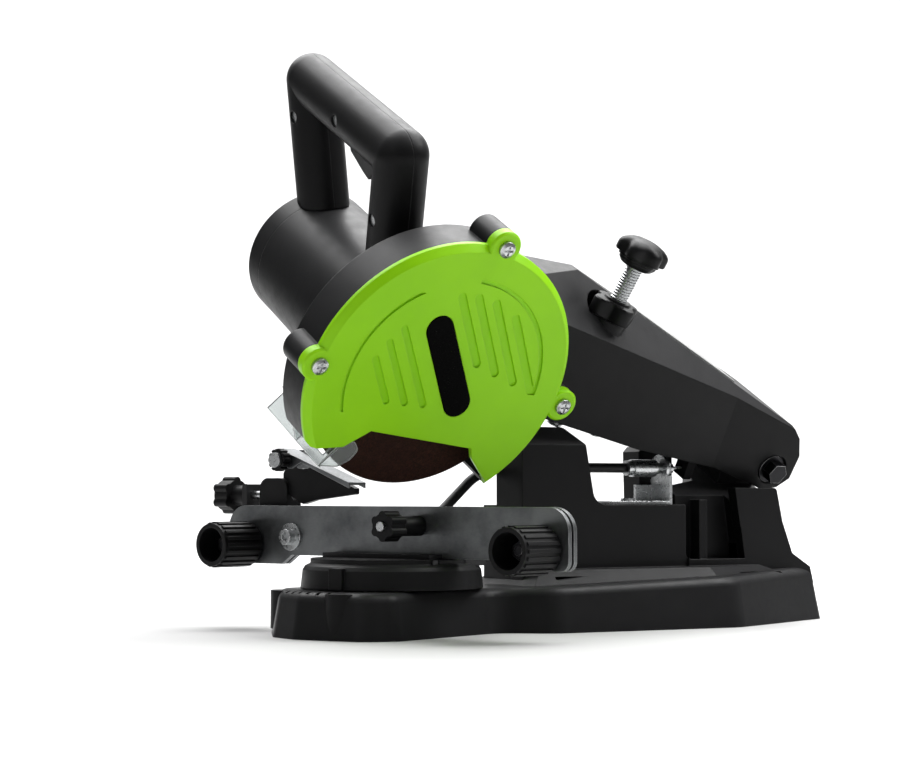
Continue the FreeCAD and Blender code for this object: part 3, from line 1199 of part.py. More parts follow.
# ---------------------------------------------------------------------------
# Clamp cable: from the vise, behind the stop post, to the steel bracket (row frame)
# ---------------------------------------------------------------------------
cable_z = size("cable_z", 70.4)
cable_y = size("cable_y", 4)
cable_radius = size("cable_radius", 2.2)
plate_x = size("cable_bracket_x", 146)
bracket_low = beam_top + 0.02
bracket = fuse("cable_bracket_body",
               box("cable_bracket_foot", plate_x - 112 + 1.6, 15, 1.6, (112, -4, bracket_low)),
               box("cable_bracket_plate", 1.6, 14, 13, (plate_x, -4, bracket_low)),
               box("cable_bracket_neck", 1.6, 10.4, 6, (plate_x, cable_y - 5.2, bracket_low + 12)),
               rod("cable_bracket_ear", 6.2, 1.6, (plate_x, cable_y, cable_z), "x"),
               box("cable_bracket_side", 10, 1.6, 9, (plate_x - 9, 9.4, bracket_low)))
node("cable_bracket", cut("cable_bracket_solid", bracket,
                          rod("cable_bracket_hole", 2.52, 10, (plate_x - 4, cable_y, cable_z), "x"),
                          rod("cable_bracket_screw_hole", 1.6, 10, (128, 4, bracket_low - 5))))
bracket_screw = fuse("bracket_screw_solid",
                     rod("bracket_screw_shank", 1.55, 6, (128, 4, bracket_low - 1.6 - 2.8)),
                     rod("bracket_screw_head", 3.2, 1.3, (128, 4, bracket_low + 1.6)))
barrel = fuse("barrel_body", rod("barrel_grip", 4, 13, (plate_x - 16, cable_y, cable_z), "x"),
              rod("barrel_nose", 3.4, 3, (plate_x - 19, cable_y, cable_z), "x"),
              rod("barrel_thread", 2.5, 11, (plate_x - 4, cable_y, cable_z), "x"))
node("cable_barrel", cut("barrel_solid", barrel,
                         rod("barrel_bore", 0.75, 40, (plate_x - 20, cable_y, cable_z), "x")))
node("bracket_fasteners", bracket_screw,
     cut("barrel_nut_solid", prism("barrel_nut_hex", 6, 4.6, 2.4, (plate_x + 1.62, cable_y, cable_z), "x"),
         rod("barrel_nut_hole", 2.52, 10, (plate_x, cable_y, cable_z), "x")))


def rounded_path(points):
    """Straight runs joined by tangent arcs; prints the radius of every bend."""
    edges = []
    start = points[0]
    for i in range(1, len(points) - 1):
        before, corner, after = points[i - 1], points[i], points[i + 1]
        arrive = corner - before
        leave = after - corner
        half = arrive.getAngle(leave) / 2
        arrive_length, leave_length = arrive.Length, leave.Length
        arrive.normalize()
        leave.normalize()
        reach = 0.45 * min(arrive_length, leave_length)
        radius = reach / math.tan(half)
        print("cable bend", i, "radius", round(radius, 1))
        enter = corner - arrive * reach
        exit_ = corner + leave * reach
        inward = leave - arrive
        inward.normalize()
        centre = corner + inward * (radius / math.cos(half))
        middle = centre - inward * radius
        edges.append(Part.makeLine(start, enter))
        edges.append(Part.Arc(enter, middle, exit_).toShape())
        start = exit_
    edges.append(Part.makeLine(start, points[-1]))
    return Part.Wire(edges)


def cord(name, points, radius):
    spine = doc.addObject("Part::Feature", name + "_spine")
    spine.Shape = rounded_path(points)
    section = doc.addObject("Part::Circle", name + "_section")
    bind(section, Radius=radius)
    along = points[1] - points[0]
    section.Placement = Placement(points[0], Rotation(Z, along))
    swept = doc.addObject("Part::Sweep", name)
    swept.Sections = [section]
    swept.Spine = (spine, [f"Edge{i + 1}" for i in range(len(spine.Shape.Edges))])
    swept.Solid = True
    swept.Frenet = False
    return swept


cable_start = Vector(plate_x.value - 19.5, cable_y.value, cable_z.value)
cable_points = [cable_start, Vector(104, 8, 70.4), Vector(84, 12.5, 71), Vector(54, 12.5, 70),
                Vector(38, 12, 56), Vector(27, 9, 48), Vector(20.2, 9.5, 43)]
node("clamp_cable", cord("clamp_cable_sweep", cable_points, cable_radius))
wire_points = [Vector(plate_x.value + 7.3, cable_y.value, cable_z.value), Vector(159.6, 4.7, 70.9)]
node("clamp_wire", cord("clamp_wire_sweep", wire_points, size("clamp_wire_radius", 0.7)))

doc.recompute()
for item in doc.Objects:
    if {"Invalid", "Error"} & set(item.State):
        raise RuntimeError(f"{item.Label} failed: {item.State}")
os.makedirs("parts", exist_ok=True)
for part in nodes:
    if part.Shape.isNull() or not part.Shape.isValid():
        raise RuntimeError(f"{part.Label} has no valid shape")
    part.Shape.exportStep(f"parts/{part.Label}.step")
    print(part.Label, len(part.Shape.Solids), "solids", round(part.Shape.Volume), "mm3", part.Shape.BoundBox)
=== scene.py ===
# %% [markdown]
# # A bench chain sharpener, from solids to picture
# The solids of the sharpener come from its maker's CAD model, in metres, each one a named
# object. This lesson dresses them: it gives every part its finish, adds the small forms that
# solids leave plain, such as screw threads, and sets up a soft studio round the machine.

# %% Load the solids
import json
import math

import bpy
import bmesh
from mathutils import Matrix, Vector


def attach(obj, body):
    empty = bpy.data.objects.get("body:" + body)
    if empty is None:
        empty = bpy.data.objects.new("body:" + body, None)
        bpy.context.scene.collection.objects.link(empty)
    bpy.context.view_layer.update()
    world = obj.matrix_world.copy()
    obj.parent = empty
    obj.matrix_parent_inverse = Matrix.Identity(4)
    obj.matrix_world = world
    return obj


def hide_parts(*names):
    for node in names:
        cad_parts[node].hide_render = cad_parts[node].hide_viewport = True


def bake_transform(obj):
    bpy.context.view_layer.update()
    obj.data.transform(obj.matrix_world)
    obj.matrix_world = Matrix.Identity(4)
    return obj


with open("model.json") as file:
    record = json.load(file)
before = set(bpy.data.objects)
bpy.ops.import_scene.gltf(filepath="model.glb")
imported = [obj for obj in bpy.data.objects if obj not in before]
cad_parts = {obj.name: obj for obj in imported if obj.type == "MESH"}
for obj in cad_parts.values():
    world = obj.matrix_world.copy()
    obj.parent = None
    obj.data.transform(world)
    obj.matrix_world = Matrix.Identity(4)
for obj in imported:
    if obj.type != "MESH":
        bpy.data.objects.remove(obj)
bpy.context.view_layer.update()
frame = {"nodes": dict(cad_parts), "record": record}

MM = 0.001
parts = frame["nodes"]

# %% [markdown]
# ## The leaning head
# A saw tooth has a slanted top, so the grinding head leans 30 degrees about the length of the
# machine. Each point on it could be typed as it stands in the room, but sizes are easier to
# think about square to the head. So one matrix turns such sizes into places, and nothing else
# has to know about the lean. The vise below is swung 17 degrees, its working angle.

# %% Frame of the head
HEAD_TILT = math.radians(30)
VISE_SWING = math.radians(17)
WHEEL_RADIUS = 54
WHEEL_BOTTOM = 63.8
WHEEL_ASIDE = -27

wheel_height = WHEEL_BOTTOM + WHEEL_RADIUS * math.cos(HEAD_TILT)
wheel_centre = Vector((0, WHEEL_ASIDE, wheel_height)) * MM
HEAD = Matrix.Translation(wheel_centre) @ Matrix.Rotation(HEAD_TILT, 4, "X")


def on_head(point):
    """A point given in millimetres square to the head, as a place in the room in metres."""
    return HEAD @ (point * MM)


print("wheel centre", [round(v, 4) for v in wheel_centre])

# %% [markdown]
# ## The camera
# A camera close to the machine would make its front look swollen. A long lens from further
# away keeps the straight edges straight. The camera stands off the vise's corner, level with
# the jaws, and looks very slightly upwards. It could be aimed at a target, but its axes are
# worked out from two angles here, so that each angle can be changed by itself.

# %% Which way the camera looks
AZIMUTH = math.radians(33)
PITCH = math.radians(2.836)

level_ahead = Vector((math.sin(AZIMUTH), math.cos(AZIMUTH), 0))
forward = level_ahead * math.cos(PITCH) + Vector((0, 0, math.sin(PITCH)))
sideways = Vector((math.cos(AZIMUTH), -math.sin(AZIMUTH), 0))
upwards = sideways.cross(forward)
print("camera looks along", [round(v, 3) for v in forward])

# %% The camera and its lens
CAMERA_PLACE = Vector((-0.4854, -0.7923, 0.0595))
LENS = 88
FILM_WIDTH = 36
NEAREST_IN_VIEW = 0.05

camera = bpy.data.objects.new("camera", bpy.data.cameras.new("camera"))
camera.data.lens = LENS
camera.data.sensor_width = FILM_WIDTH
camera.data.sensor_fit = "HORIZONTAL"
camera.data.clip_start = NEAREST_IN_VIEW
camera_axes = Matrix((sideways, upwards, -forward)).transposed().to_4x4()
camera.matrix_world = Matrix.Translation(CAMERA_PLACE) @ camera_axes
bpy.context.collection.objects.link(camera)
bpy.context.scene.camera = camera
print("camera has a lens of", LENS, "mm")

# %% [markdown]
# ## The clamp cable
# When the head comes down, a cable like a bicycle's brake cable shuts the vise. Its black
# sheath leaves an adjusting barrel on the base, runs past the post and dives into the vise.
# Straight runs with rounded corners would look like bent wire. A NURBS curve leans towards its
# points without touching them, as a stiff sheath does, so the route is laid as one and is
# then read back as a line of points.

# %% The line of the sheath
SHEATH_ROUTE = ((126.5, 4, 70.4), (104, 8, 70.4), (84, 12.5, 71), (54, 12.5, 70),
                (38, 12, 56), (27, 9, 48), (20.2, 9.5, 43))
STEPS_PER_SPAN = 12


def smooth_line(name, points, steps):
    """The points of a smooth curve that follows the given route."""
    curve = bpy.data.curves.new(name, "CURVE")
    curve.dimensions = "3D"
    curve.resolution_u = steps
    spline = curve.splines.new("NURBS")
    spline.points.add(len(points) - 1)
    for target, point in zip(spline.points, points):
        target.co = (*point, 1)
    spline.order_u = 3
    spline.use_endpoint_u = True
    holder = bpy.data.objects.new(name, curve)
    bpy.context.collection.objects.link(holder)
    bpy.context.view_layer.update()
    mesh = bpy.data.meshes.new_from_object(holder)
    line = [v.co.copy() for v in mesh.vertices]
    bpy.data.objects.remove(holder)
    return line


sheath_route = [Vector(place) * MM for place in SHEATH_ROUTE]
sheath_line = smooth_line("sheath_route", sheath_route, STEPS_PER_SPAN)

# %% [markdown]
# ### From a line to a tube
# The real sheath bends when the vise swivels. Blender can give a curve a round section, but
# here the sheath is built as a mesh. The tube is a row of rings, each square to the line, with
# faces between neighbouring rings. Threads and knobs are rows of rings too, so the part that
# makes the faces is a helper of its own.

# %% A skin of faces over rings of points
def skin(name, rings, capped=True):
    """A mesh over a row of rings. A ring of one point is a tip, and caps close the two ends."""
    build = bmesh.new()
    rows = [[build.verts.new(point) for point in ring] for ring in rings]
    around = max(len(row) for row in rows)
    for low, high in zip(rows, rows[1:]):
        for k in range(around):
            corners = (low[k % len(low)], low[(k + 1) % len(low)],
                       high[(k + 1) % len(high)], high[k % len(high)])
            build.faces.new(list(dict.fromkeys(corners)))
    if capped:
        build.faces.new(rows[0])
        build.faces.new(rows[-1])
    bmesh.ops.recalc_face_normals(build, faces=build.faces)
    mesh_data = bpy.data.meshes.new(name)
    build.to_mesh(mesh_data)
    build.free()
    return mesh_data


print("helper ready: skin")

# %% A tube about a line
SHEATH_RADIUS = 2.2 * MM
AROUND_SHEATH = 20


def turns(count):
    """Angles that share a full turn evenly."""
    return [2 * math.pi * k / count for k in range(count)]


def tube_mesh(name, line, radius, around):
    """A closed tube about a line of points, each ring square to the way the line runs."""
    upward = Vector((0, 0, 1))
    rings = []
    for i, point in enumerate(line):
        ahead = (line[min(i + 1, len(line) - 1)] - line[max(i - 1, 0)]).normalized()
        across = ahead.cross(upward).normalized()
        up = across.cross(ahead)
        rings.append([point + radius * (across * math.cos(turn) + up * math.sin(turn))
                      for turn in turns(around)])
    return skin(name, rings)


sheath_mesh = tube_mesh("clamp_cable_sheath", sheath_line, SHEATH_RADIUS, AROUND_SHEATH)
print("sheath mesh has", len(sheath_mesh.polygons), "faces")


def piece(name, mesh_data, body=None):
    """A new smooth-shaded piece of the scene, riding on a body if one is named."""
    made = bpy.data.objects.new(name, mesh_data)
    bpy.context.collection.objects.link(made)
    for face in mesh_data.polygons:
        face.use_smooth = True
    if body:
        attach(made, body)
    return made


sheath = piece("clamp_cable_sheath", sheath_mesh)
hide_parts("clamp_cable")
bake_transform(sheath)
print("sheath bends between the base and the vise")

# %% [markdown]
# ### The bare wire
# Between the barrel and the arm the cable's inner wire shows. It is short and pulled tight, so
# it is a straight tube.

# %% The wire from the barrel to the arm
WIRE_RADIUS = 0.7 * MM
AROUND_WIRE = 12
WIRE_STEPS = 30

wire_ends = [Vector((153.3, 4, 70.4)) * MM, Vector((159.6, 4.7, 70.9)) * MM]
wire_line = [wire_ends[0].lerp(wire_ends[1], i / WIRE_STEPS) for i in range(WIRE_STEPS + 1)]
wire = piece("clamp_wire_strand",
             tube_mesh("clamp_wire_strand", wire_line, WIRE_RADIUS, AROUND_WIRE))
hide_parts("clamp_wire")
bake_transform(wire)
print("wire", round((wire_ends[1] - wire_ends[0]).length / MM, 1), "mm long")

# %% [markdown]
# ## Finishes made of nodes
# A finish could be a picture wrapped round a part, but then every part would need unwrapping,
# and a close view would show the picture's dots. A small network of nodes works out colour,
# gloss and bumps from the place on the part instead, and stays sharp at any distance. The
# next cells make what all the networks share.

# %% An empty finish, and colours from a paint chart
def finish(name):
    """An empty material, its node tree and its shader. A plain one gives up the name."""
    if name in bpy.data.materials:
        bpy.data.materials[name].name = name + "_plain"
    material = bpy.data.materials.new(name)
    material.use_nodes = True
    tree = material.node_tree
    return material, tree, tree.nodes["Principled BSDF"]


def colour(chart):
    """A colour written as on a paint chart, as linear light."""
    channels = [int(chart[i:i + 2], 16) / 255 for i in (1, 3, 5)]
    return (*[c / 12.92 if c <= 0.04045 else ((c + 0.055) / 1.055) ** 2.4 for c in channels], 1)


print("mid grey #808080 gives", round(colour("#808080")[0], 3), "of full light")

# %% Places on a part, and noise over them
def place_on_part(tree, stretch=(1, 1, 1), turn=(0, 0, 0)):
    """Places on the part, in metres, turned and stretched along its axes."""
    coordinates = tree.nodes.new("ShaderNodeTexCoord")
    mapping = tree.nodes.new("ShaderNodeMapping")
    mapping.inputs["Scale"].default_value = stretch
    mapping.inputs["Rotation"].default_value = turn
    tree.links.new(coordinates.outputs["Object"], mapping.inputs["Vector"])
    return mapping.outputs["Vector"]


def noise(tree, where, per_metre, detail, rough=0.5):
    """Soft random spots, so many to the metre. They mostly lie between 0.3 and 0.7."""
    node = tree.nodes.new("ShaderNodeTexNoise")
    node.inputs["Scale"].default_value = per_metre
    node.inputs["Detail"].default_value = detail
    node.inputs["Roughness"].default_value = rough
    tree.links.new(where, node.inputs["Vector"])
    return node.outputs["Fac"]


NOISE_LOW, NOISE_HIGH = 0.3, 0.7
print("helpers ready: place_on_part, noise")

# %% Ranges, mixes, products and gloss
def spread(tree, source, low, high, low_to=0.0, high_to=1.0):
    """Stretches a range of a value to another range."""
    node = tree.nodes.new("ShaderNodeMapRange")
    for socket, value in (("From Min", low), ("From Max", high),
                          ("To Min", low_to), ("To Max", high_to)):
        node.inputs[socket].default_value = value
    tree.links.new(source, node.inputs["Value"])
    return node.outputs["Result"]


def blended(tree, factor, first, second):
    """Mixes two colours, or sockets that carry colours."""
    node = tree.nodes.new("ShaderNodeMix")
    node.data_type = "RGBA"
    tree.links.new(factor, node.inputs["Factor"])
    for socket, value in ((node.inputs["A"], first), (node.inputs["B"], second)):
        if isinstance(value, tuple):
            socket.default_value = value
        else:
            tree.links.new(value, socket)
    return node.outputs["Result"]


def product(tree, first, second):
    """The product of two values: it is high only where both are."""
    node = tree.nodes.new("ShaderNodeMath")
    node.operation = "MULTIPLY"
    tree.links.new(first, node.inputs[0])
    tree.links.new(second, node.inputs[1])
    return node.outputs["Value"]


def uneven_gloss(tree, shader, source, least, most):
    """Varies the shader's roughness between two values by a noise."""
    roughness = spread(tree, source, NOISE_LOW, NOISE_HIGH, least, most)
    tree.links.new(roughness, shader.inputs["Roughness"])


print("helpers ready: spread, blended, product, uneven_gloss")

# %% [markdown]
# ### Worn edges and fine bumps
# Thumbs, cloths and spanners rub the edges of a tool first. Edges could be marked by hand, but
# the Bevel node finds them: it gives the direction of a slightly rounded surface, and where
# that differs from the true surface there is an edge. The same rounded direction catches a
# thin highlight, so that CAD's knife-sharp edges look moulded or machined.

# %% Edges and bumps
# The edge value marks wear on plastics and metals, and a painted highlight on the clear sheet.
BEVEL_SAMPLES = 6
STILL_FLAT, FULLY_WORN = 0.995, 0.85


def edge_wear_and_highlight(tree, radius):
    """A value that rises on edges, and the direction of the surface with its edges rounded."""
    rounded = tree.nodes.new("ShaderNodeBevel")
    rounded.samples = BEVEL_SAMPLES
    rounded.inputs["Radius"].default_value = radius
    surface = tree.nodes.new("ShaderNodeNewGeometry")
    dot = tree.nodes.new("ShaderNodeVectorMath")
    dot.operation = "DOT_PRODUCT"
    tree.links.new(rounded.outputs["Normal"], dot.inputs[0])
    tree.links.new(surface.outputs["Normal"], dot.inputs[1])
    wear = spread(tree, dot.outputs["Value"], STILL_FLAT, FULLY_WORN)
    return wear, rounded.outputs["Normal"]


def bumps(tree, shader, height, distance, strength, over=None):
    """Raises the surface by a value, on top of a rounded direction if one is given."""
    node = tree.nodes.new("ShaderNodeBump")
    node.inputs["Distance"].default_value = distance
    node.inputs["Strength"].default_value = strength
    tree.links.new(height, node.inputs["Height"])
    if over is not None:
        tree.links.new(over, node.inputs["Normal"])
    tree.links.new(node.outputs["Normal"], shader.inputs["Normal"])


print("helpers ready: edge_wear_and_highlight, bumps")

# %% [markdown]
# ## Moulded plastic
# The base, arm, guard and motor housing are moulded in a tough black plastic. The mould is
# spark-eroded, which leaves a fine even grain that scatters light. Handling polishes the
# edges slightly and leaves faint cloudy marks. Faces that look up get a painted light, a
# lighter grey that stands in for light from above. One more helper finds them by the direction
# of the part's own surface, so the painted light stays where it is when the head swings.

# %% Painted light on faces that look up
TOP_LIGHT_STARTS, TOP_LIGHT_FULL = -0.15, 0.6
WEAKEST_TOP_LIGHT = 0.8


def painted_top_light(tree, clouds):
    """Painted light from above: rises where the part's surface looks upwards, weaker in places."""
    place = tree.nodes.new("ShaderNodeTexCoord")
    split = tree.nodes.new("ShaderNodeSeparateXYZ")
    tree.links.new(place.outputs["Normal"], split.inputs[0])
    facing_up = spread(tree, split.outputs["Z"], TOP_LIGHT_STARTS, TOP_LIGHT_FULL)
    top_light_strength = spread(tree, clouds, NOISE_LOW, NOISE_HIGH, WEAKEST_TOP_LIGHT, 1)
    return product(tree, facing_up, top_light_strength)


print("helper ready: painted_top_light")

# %% How a moulded plastic is made
PLASTIC_CLOUDS = 22
PLASTIC_SCUFFS = 160
GRAIN_STRENGTH = 0.6


def moulded_plastic(name, base, cloud, worn, roughness, grain, grain_size, edge, level, dust_and_top_light=None):
    """A moulded plastic: three tones, its gloss, and grain and edge sizes in millimetres."""
    material, tree, shader = finish(name)
    where = place_on_part(tree)
    clouds = noise(tree, where, PLASTIC_CLOUDS, detail=4)
    scuffs = noise(tree, where, PLASTIC_SCUFFS, detail=6, rough=0.65)
    fine = noise(tree, where, 1 / (grain_size * MM), detail=2)
    edges, rounded = edge_wear_and_highlight(tree, edge * MM)
    tone = blended(tree, spread(tree, clouds, 0.35, 0.7), colour(base), colour(cloud))
    # Painted light: faces that look up are lightened towards this grey, standing in for light from
    # above.
    if dust_and_top_light:
        tone = blended(tree, painted_top_light(tree, clouds), tone, colour(dust_and_top_light))
    tone = blended(tree, product(tree, edges, scuffs), tone, colour(worn))
    tree.links.new(tone, shader.inputs["Base Color"])
    uneven_gloss(tree, shader, scuffs, roughness - 0.06, roughness + 0.07)
    shader.inputs["Specular IOR Level"].default_value = level
    bumps(tree, shader, fine, grain * MM, GRAIN_STRENGTH, rounded)
    return material


print("helper ready: moulded_plastic")

# %% The three plastics
# The lighter grey on black_plastic's upward faces is painted light from above.
black_plastic = moulded_plastic(
    "black_plastic", base="#0a0a0b", cloud="#0d0d0e", worn="#2b2b2c", roughness=0.4,
    grain=0.05, grain_size=0.5, edge=0.7, level=0.12, dust_and_top_light="#303031")
knob_plastic = moulded_plastic(
    "knob_plastic", base="#0e0e0f", cloud="#121213", worn="#262627", roughness=0.46,
    grain=0.03, grain_size=0.6, edge=0.5, level=0.16)
green_plastic = moulded_plastic(
    "green_plastic", base="#8ace06", cloud="#92d60a", worn="#a2dc20", roughness=0.42,
    grain=0.03, grain_size=0.6, edge=0.6, level=0.22)
print("plastics:", black_plastic.name, knob_plastic.name, green_plastic.name)

# %% [markdown]
# ## Metals
# Screws and small parts are steel with a bright zinc coat. The vise jaws are ground flat,
# which leaves fine straight lines along them, and oil from the chain darkens them in cloudy
# patches. The lines could be modelled, but they are far too fine: noise that is stretched
# along the jaws varies the gloss in the same way. Castings inside the machine are rougher.

# %% How a metal is made
METAL_PATCHES = 45
METAL_EDGE = 0.35 * MM
METAL_RELIEF = 0.01 * MM
EDGE_BRIGHTNESS = 0.5


def metal(name, base, dark, roughness, stain=0.5, relief=0.4, per_metre=1500,
          lines=(1, 1, 1), turn=(0, 0, 0)):
    """A bare metal with stains, bright edges, and grain that may be drawn out into lines."""
    material, tree, shader = finish(name)
    grain = noise(tree, place_on_part(tree, lines, turn), per_metre, detail=3)
    patches = noise(tree, place_on_part(tree), METAL_PATCHES, detail=5, rough=0.6)
    edges, rounded = edge_wear_and_highlight(tree, METAL_EDGE)
    stains = spread(tree, patches, 0.4, 0.75, high_to=stain)
    rubbed = spread(tree, edges, 0, 1, high_to=EDGE_BRIGHTNESS)
    tone = blended(tree, stains, colour(base), colour(dark))
    tone = blended(tree, rubbed, tone, colour("#e8e8e8"))
    tree.links.new(tone, shader.inputs["Base Color"])
    uneven_gloss(tree, shader, grain, roughness - 0.08, roughness + 0.1)
    shader.inputs["Metallic"].default_value = 1.0
    bumps(tree, shader, grain, METAL_RELIEF, relief, rounded)
    return material


print("helper ready: metal")

# %% Metals outside: screws, jaws and brackets
zinc_steel = metal("zinc_steel", "#c3c5c6", "#96989a", 0.3, relief=0.1, per_metre=900)
jaw_steel = metal("jaw_steel", "#787a7b", "#3f4143", 0.42, stain=0.8, per_metre=1800,
                  lines=(1, 0.04, 1), turn=(0, 0, -VISE_SWING))
dark_steel = metal("dark_steel", "#2a2a2c", "#161617", 0.4, stain=0.6)
print("metals outside:", zinc_steel.name, jaw_steel.name, dark_steel.name)

# %% Metals inside: castings, iron, copper, brass and bearings
cast_aluminium = metal("cast_aluminium", "#b4b5b7", "#7c7d80", 0.4, stain=0.6)
core_iron = metal("core_iron", "#4b4b4e", "#2c2c2e", 0.55, per_metre=700,
                  lines=(1, 1, 12), turn=(-HEAD_TILT, 0, 0))
copper_bars = metal("copper_bars", "#b8733f", "#6b3f22", 0.35)
brass_bush = metal("brass_bush", "#b9984f", "#7c6432", 0.35)
bearing_chrome = metal("bearing_chrome", "#d4d6d8", "#a9abad", 0.14, stain=0.3, relief=0.05)
print("metals inside:", cast_aluminium.name, core_iron.name, copper_bars.name,
      brass_bush.name, bearing_chrome.name)

# %% [markdown]
# ## Bonded abrasive
# The wheel is made of brown grains in a dark resin. Plain noise would look like cloth or
# stone. A Voronoi texture divides the surface into cells of different brightness, which is
# what grains do, and the distance to a cell's middle gives each grain its little hump. Two
# slow noises add worn patches and pale grinding dust.

# %% The wheel's finish
GRAINS_PER_METRE = 1600
WORN_PATCHES = 60
DUST_SPECKS = 260
GRAIN_HUMP = 0.2 * MM


def bonded_abrasive(name):
    """Grains in resin, dull all over."""
    material, tree, shader = finish(name)
    where = place_on_part(tree)
    grains = tree.nodes.new("ShaderNodeTexVoronoi")
    grains.inputs["Scale"].default_value = GRAINS_PER_METRE
    tree.links.new(where, grains.inputs["Vector"])
    drift = noise(tree, where, WORN_PATCHES, detail=5, rough=0.6)
    specks = noise(tree, where, DUST_SPECKS, detail=4)
    patches = spread(tree, drift, 0.35, 0.7, high_to=0.6)
    dust_and_top_light = spread(tree, specks, 0.55, 0.8, high_to=0.3)
    tone = blended(tree, grains.outputs["Color"], colour("#190b06"), colour("#361b11"))
    tone = blended(tree, patches, tone, colour("#25110b"))
    tone = blended(tree, dust_and_top_light, tone, colour("#482f22"))
    tree.links.new(tone, shader.inputs["Base Color"])
    shader.inputs["Roughness"].default_value = 0.85
    shader.inputs["Specular IOR Level"].default_value = 0.2
    bumps(tree, shader, grains.outputs["Distance"], GRAIN_HUMP, 0.8)
    return material


abrasive_brown = bonded_abrasive("abrasive_brown")
print("wheel finish:", abrasive_brown.name)

# %% [markdown]
# ## Clear sheet
# The eye shield is a clear plastic sheet. A sheet is seen mainly by its edges, which gather
# light, and by its haze and scratches. So the network paints that light in: the edges get a
# white painted highlight and let less light through than the rest, and the scratches are
# drawn out along the sheet.

# %% The eye shield's finish
SHIELD_EDGE = 0.5 * MM
SHIELD_IOR = 1.47
SHEET_CLEAR, PAINTED_HIGHLIGHT_CLEAR = 0.86, 0.2
SCRATCH_DEPTH = 0.01 * MM


def clear_sheet_finish(name):
    """A clear sheet with painted white highlights on its edges, uneven haze and fine scratches."""
    material, tree, shader = finish(name)
    scratches = noise(tree, place_on_part(tree, stretch=(1, 1, 0.1)), 700, detail=4)
    haze = noise(tree, place_on_part(tree), 90, detail=4)
    edges, rounded = edge_wear_and_highlight(tree, SHIELD_EDGE)
    # Painted highlight: the sheet's edges are coloured white and let less light through.
    tone = blended(tree, edges, colour("#d3d9d8"), colour("#ffffff"))
    clearness = spread(tree, edges, 0, 1, SHEET_CLEAR, PAINTED_HIGHLIGHT_CLEAR)
    tree.links.new(tone, shader.inputs["Base Color"])
    tree.links.new(clearness, shader.inputs["Transmission Weight"])
    uneven_gloss(tree, shader, haze, 0.1, 0.22)
    shader.inputs["IOR"].default_value = SHIELD_IOR
    bumps(tree, shader, scratches, SCRATCH_DEPTH, 0.3, rounded)
    return material


clear_sheet = clear_sheet_finish("clear_sheet")
print("shield finish:", clear_sheet.name)

# %% [markdown]
# ## Thin coats
# Painted brackets, the grey film panel on the arm, the blank label plate, the cable's rubber
# and the trigger have one thing in common: a thin even layer with two close tones and very
# low relief. One helper makes them all, and each gets its own colours, gloss and grain.

# %% How a thin coat is made
COAT_CLOUDS = 60
COAT_EDGE = 0.4 * MM
COAT_STRENGTH = 0.5


def coated(name, base, speck, roughness, relief, grain_size, level=0.35):
    """A thin smooth layer. Its relief and grain size are in millimetres."""
    material, tree, shader = finish(name)
    where = place_on_part(tree)
    fine = noise(tree, where, 1 / (grain_size * MM), detail=3)
    clouds = spread(tree, noise(tree, where, COAT_CLOUDS, detail=4), 0.4, 0.7)
    rounded = edge_wear_and_highlight(tree, COAT_EDGE)[1]
    tone = blended(tree, clouds, colour(base), colour(speck))
    tree.links.new(tone, shader.inputs["Base Color"])
    uneven_gloss(tree, shader, fine, roughness - 0.04, roughness + 0.05)
    shader.inputs["Specular IOR Level"].default_value = level
    bumps(tree, shader, fine, relief * MM, COAT_STRENGTH, rounded)
    return material


print("helper ready: coated")

# %% Label plate, panel, painted metal, rubber and trigger
gloss_black = coated("gloss_black", "#020202", "#030303", 0.3, 0.002, 2.0, level=0.02)
grey_panel = coated("grey_panel", "#a3a4a3", "#8d8e8e", 0.42, 0.01, 0.6)
black_metal = coated("black_metal", "#121213", "#1b1b1c", 0.4, 0.02, 0.7)
cable_rubber = coated("cable_rubber", "#0b0b0c", "#141415", 0.5, 0.02, 0.5)
trigger_plastic = coated("trigger_plastic", "#1c1c1d", "#252526", 0.45, 0.02, 0.5)
print("thin coats:", gloss_black.name, grey_panel.name, black_metal.name, cable_rubber.name,
      trigger_plastic.name)

# %% [markdown]
# ## Dressing the solids
# Each solid could be given its finish by hand, one line at a time. But the record of the
# machine already names a finish for every solid, and the finishes above carry the same names,
# so one loop hands them out.

# %% Hand out the finishes
finishes = {material.name: material for material in (
    black_plastic, knob_plastic, green_plastic, zinc_steel, jaw_steel, dark_steel,
    cast_aluminium, core_iron, copper_bars, brass_bush, bearing_chrome, abrasive_brown,
    clear_sheet, gloss_black, grey_panel, black_metal, cable_rubber, trigger_plastic)}


def dress(thing, material):
    """Gives a thing one finish all over."""
    thing.data.materials.clear()
    thing.data.materials.append(material)


for row in frame["record"]["subparts"]:
    dress(parts[row["node"]], finishes[row["material_slot"]])
dress(sheath, cable_rubber)
dress(wire, zinc_steel)

# %% [markdown]
# ### Smooth faces, sharp creases
# Solids from CAD arrive as flat triangles, so a round housing would look like cut stone.
# Shading everything smooth would smear light across real corners. The angle between two
# faces decides: shallow angles belong to a curve and are smoothed, and the others stay sharp.

# %% Shade the solids smooth up to a sharp angle
SHARP = math.radians(28)


def shade(thing):
    """Smooth shading, with creases where faces meet at more than the sharp angle."""
    build = bmesh.new()
    build.from_mesh(thing.data)
    for edge in build.edges:
        edge.smooth = not (len(edge.link_faces) == 2 and edge.calc_face_angle(0) > SHARP)
    for face in build.faces:
        face.smooth = True
    build.to_mesh(thing.data)
    build.free()


for solid in parts.values():
    shade(solid)
print("creases kept above", round(math.degrees(SHARP)), "degrees")

# %% [markdown]
# ## The depth stop
# A threaded rod with a star knob on top and a lock knob below sets how deep the wheel cuts.
# All three are round about one axis, which leans 11.5 degrees in the head. So they share a
# helper that lays a ring of points about that axis, each point at its own reach.

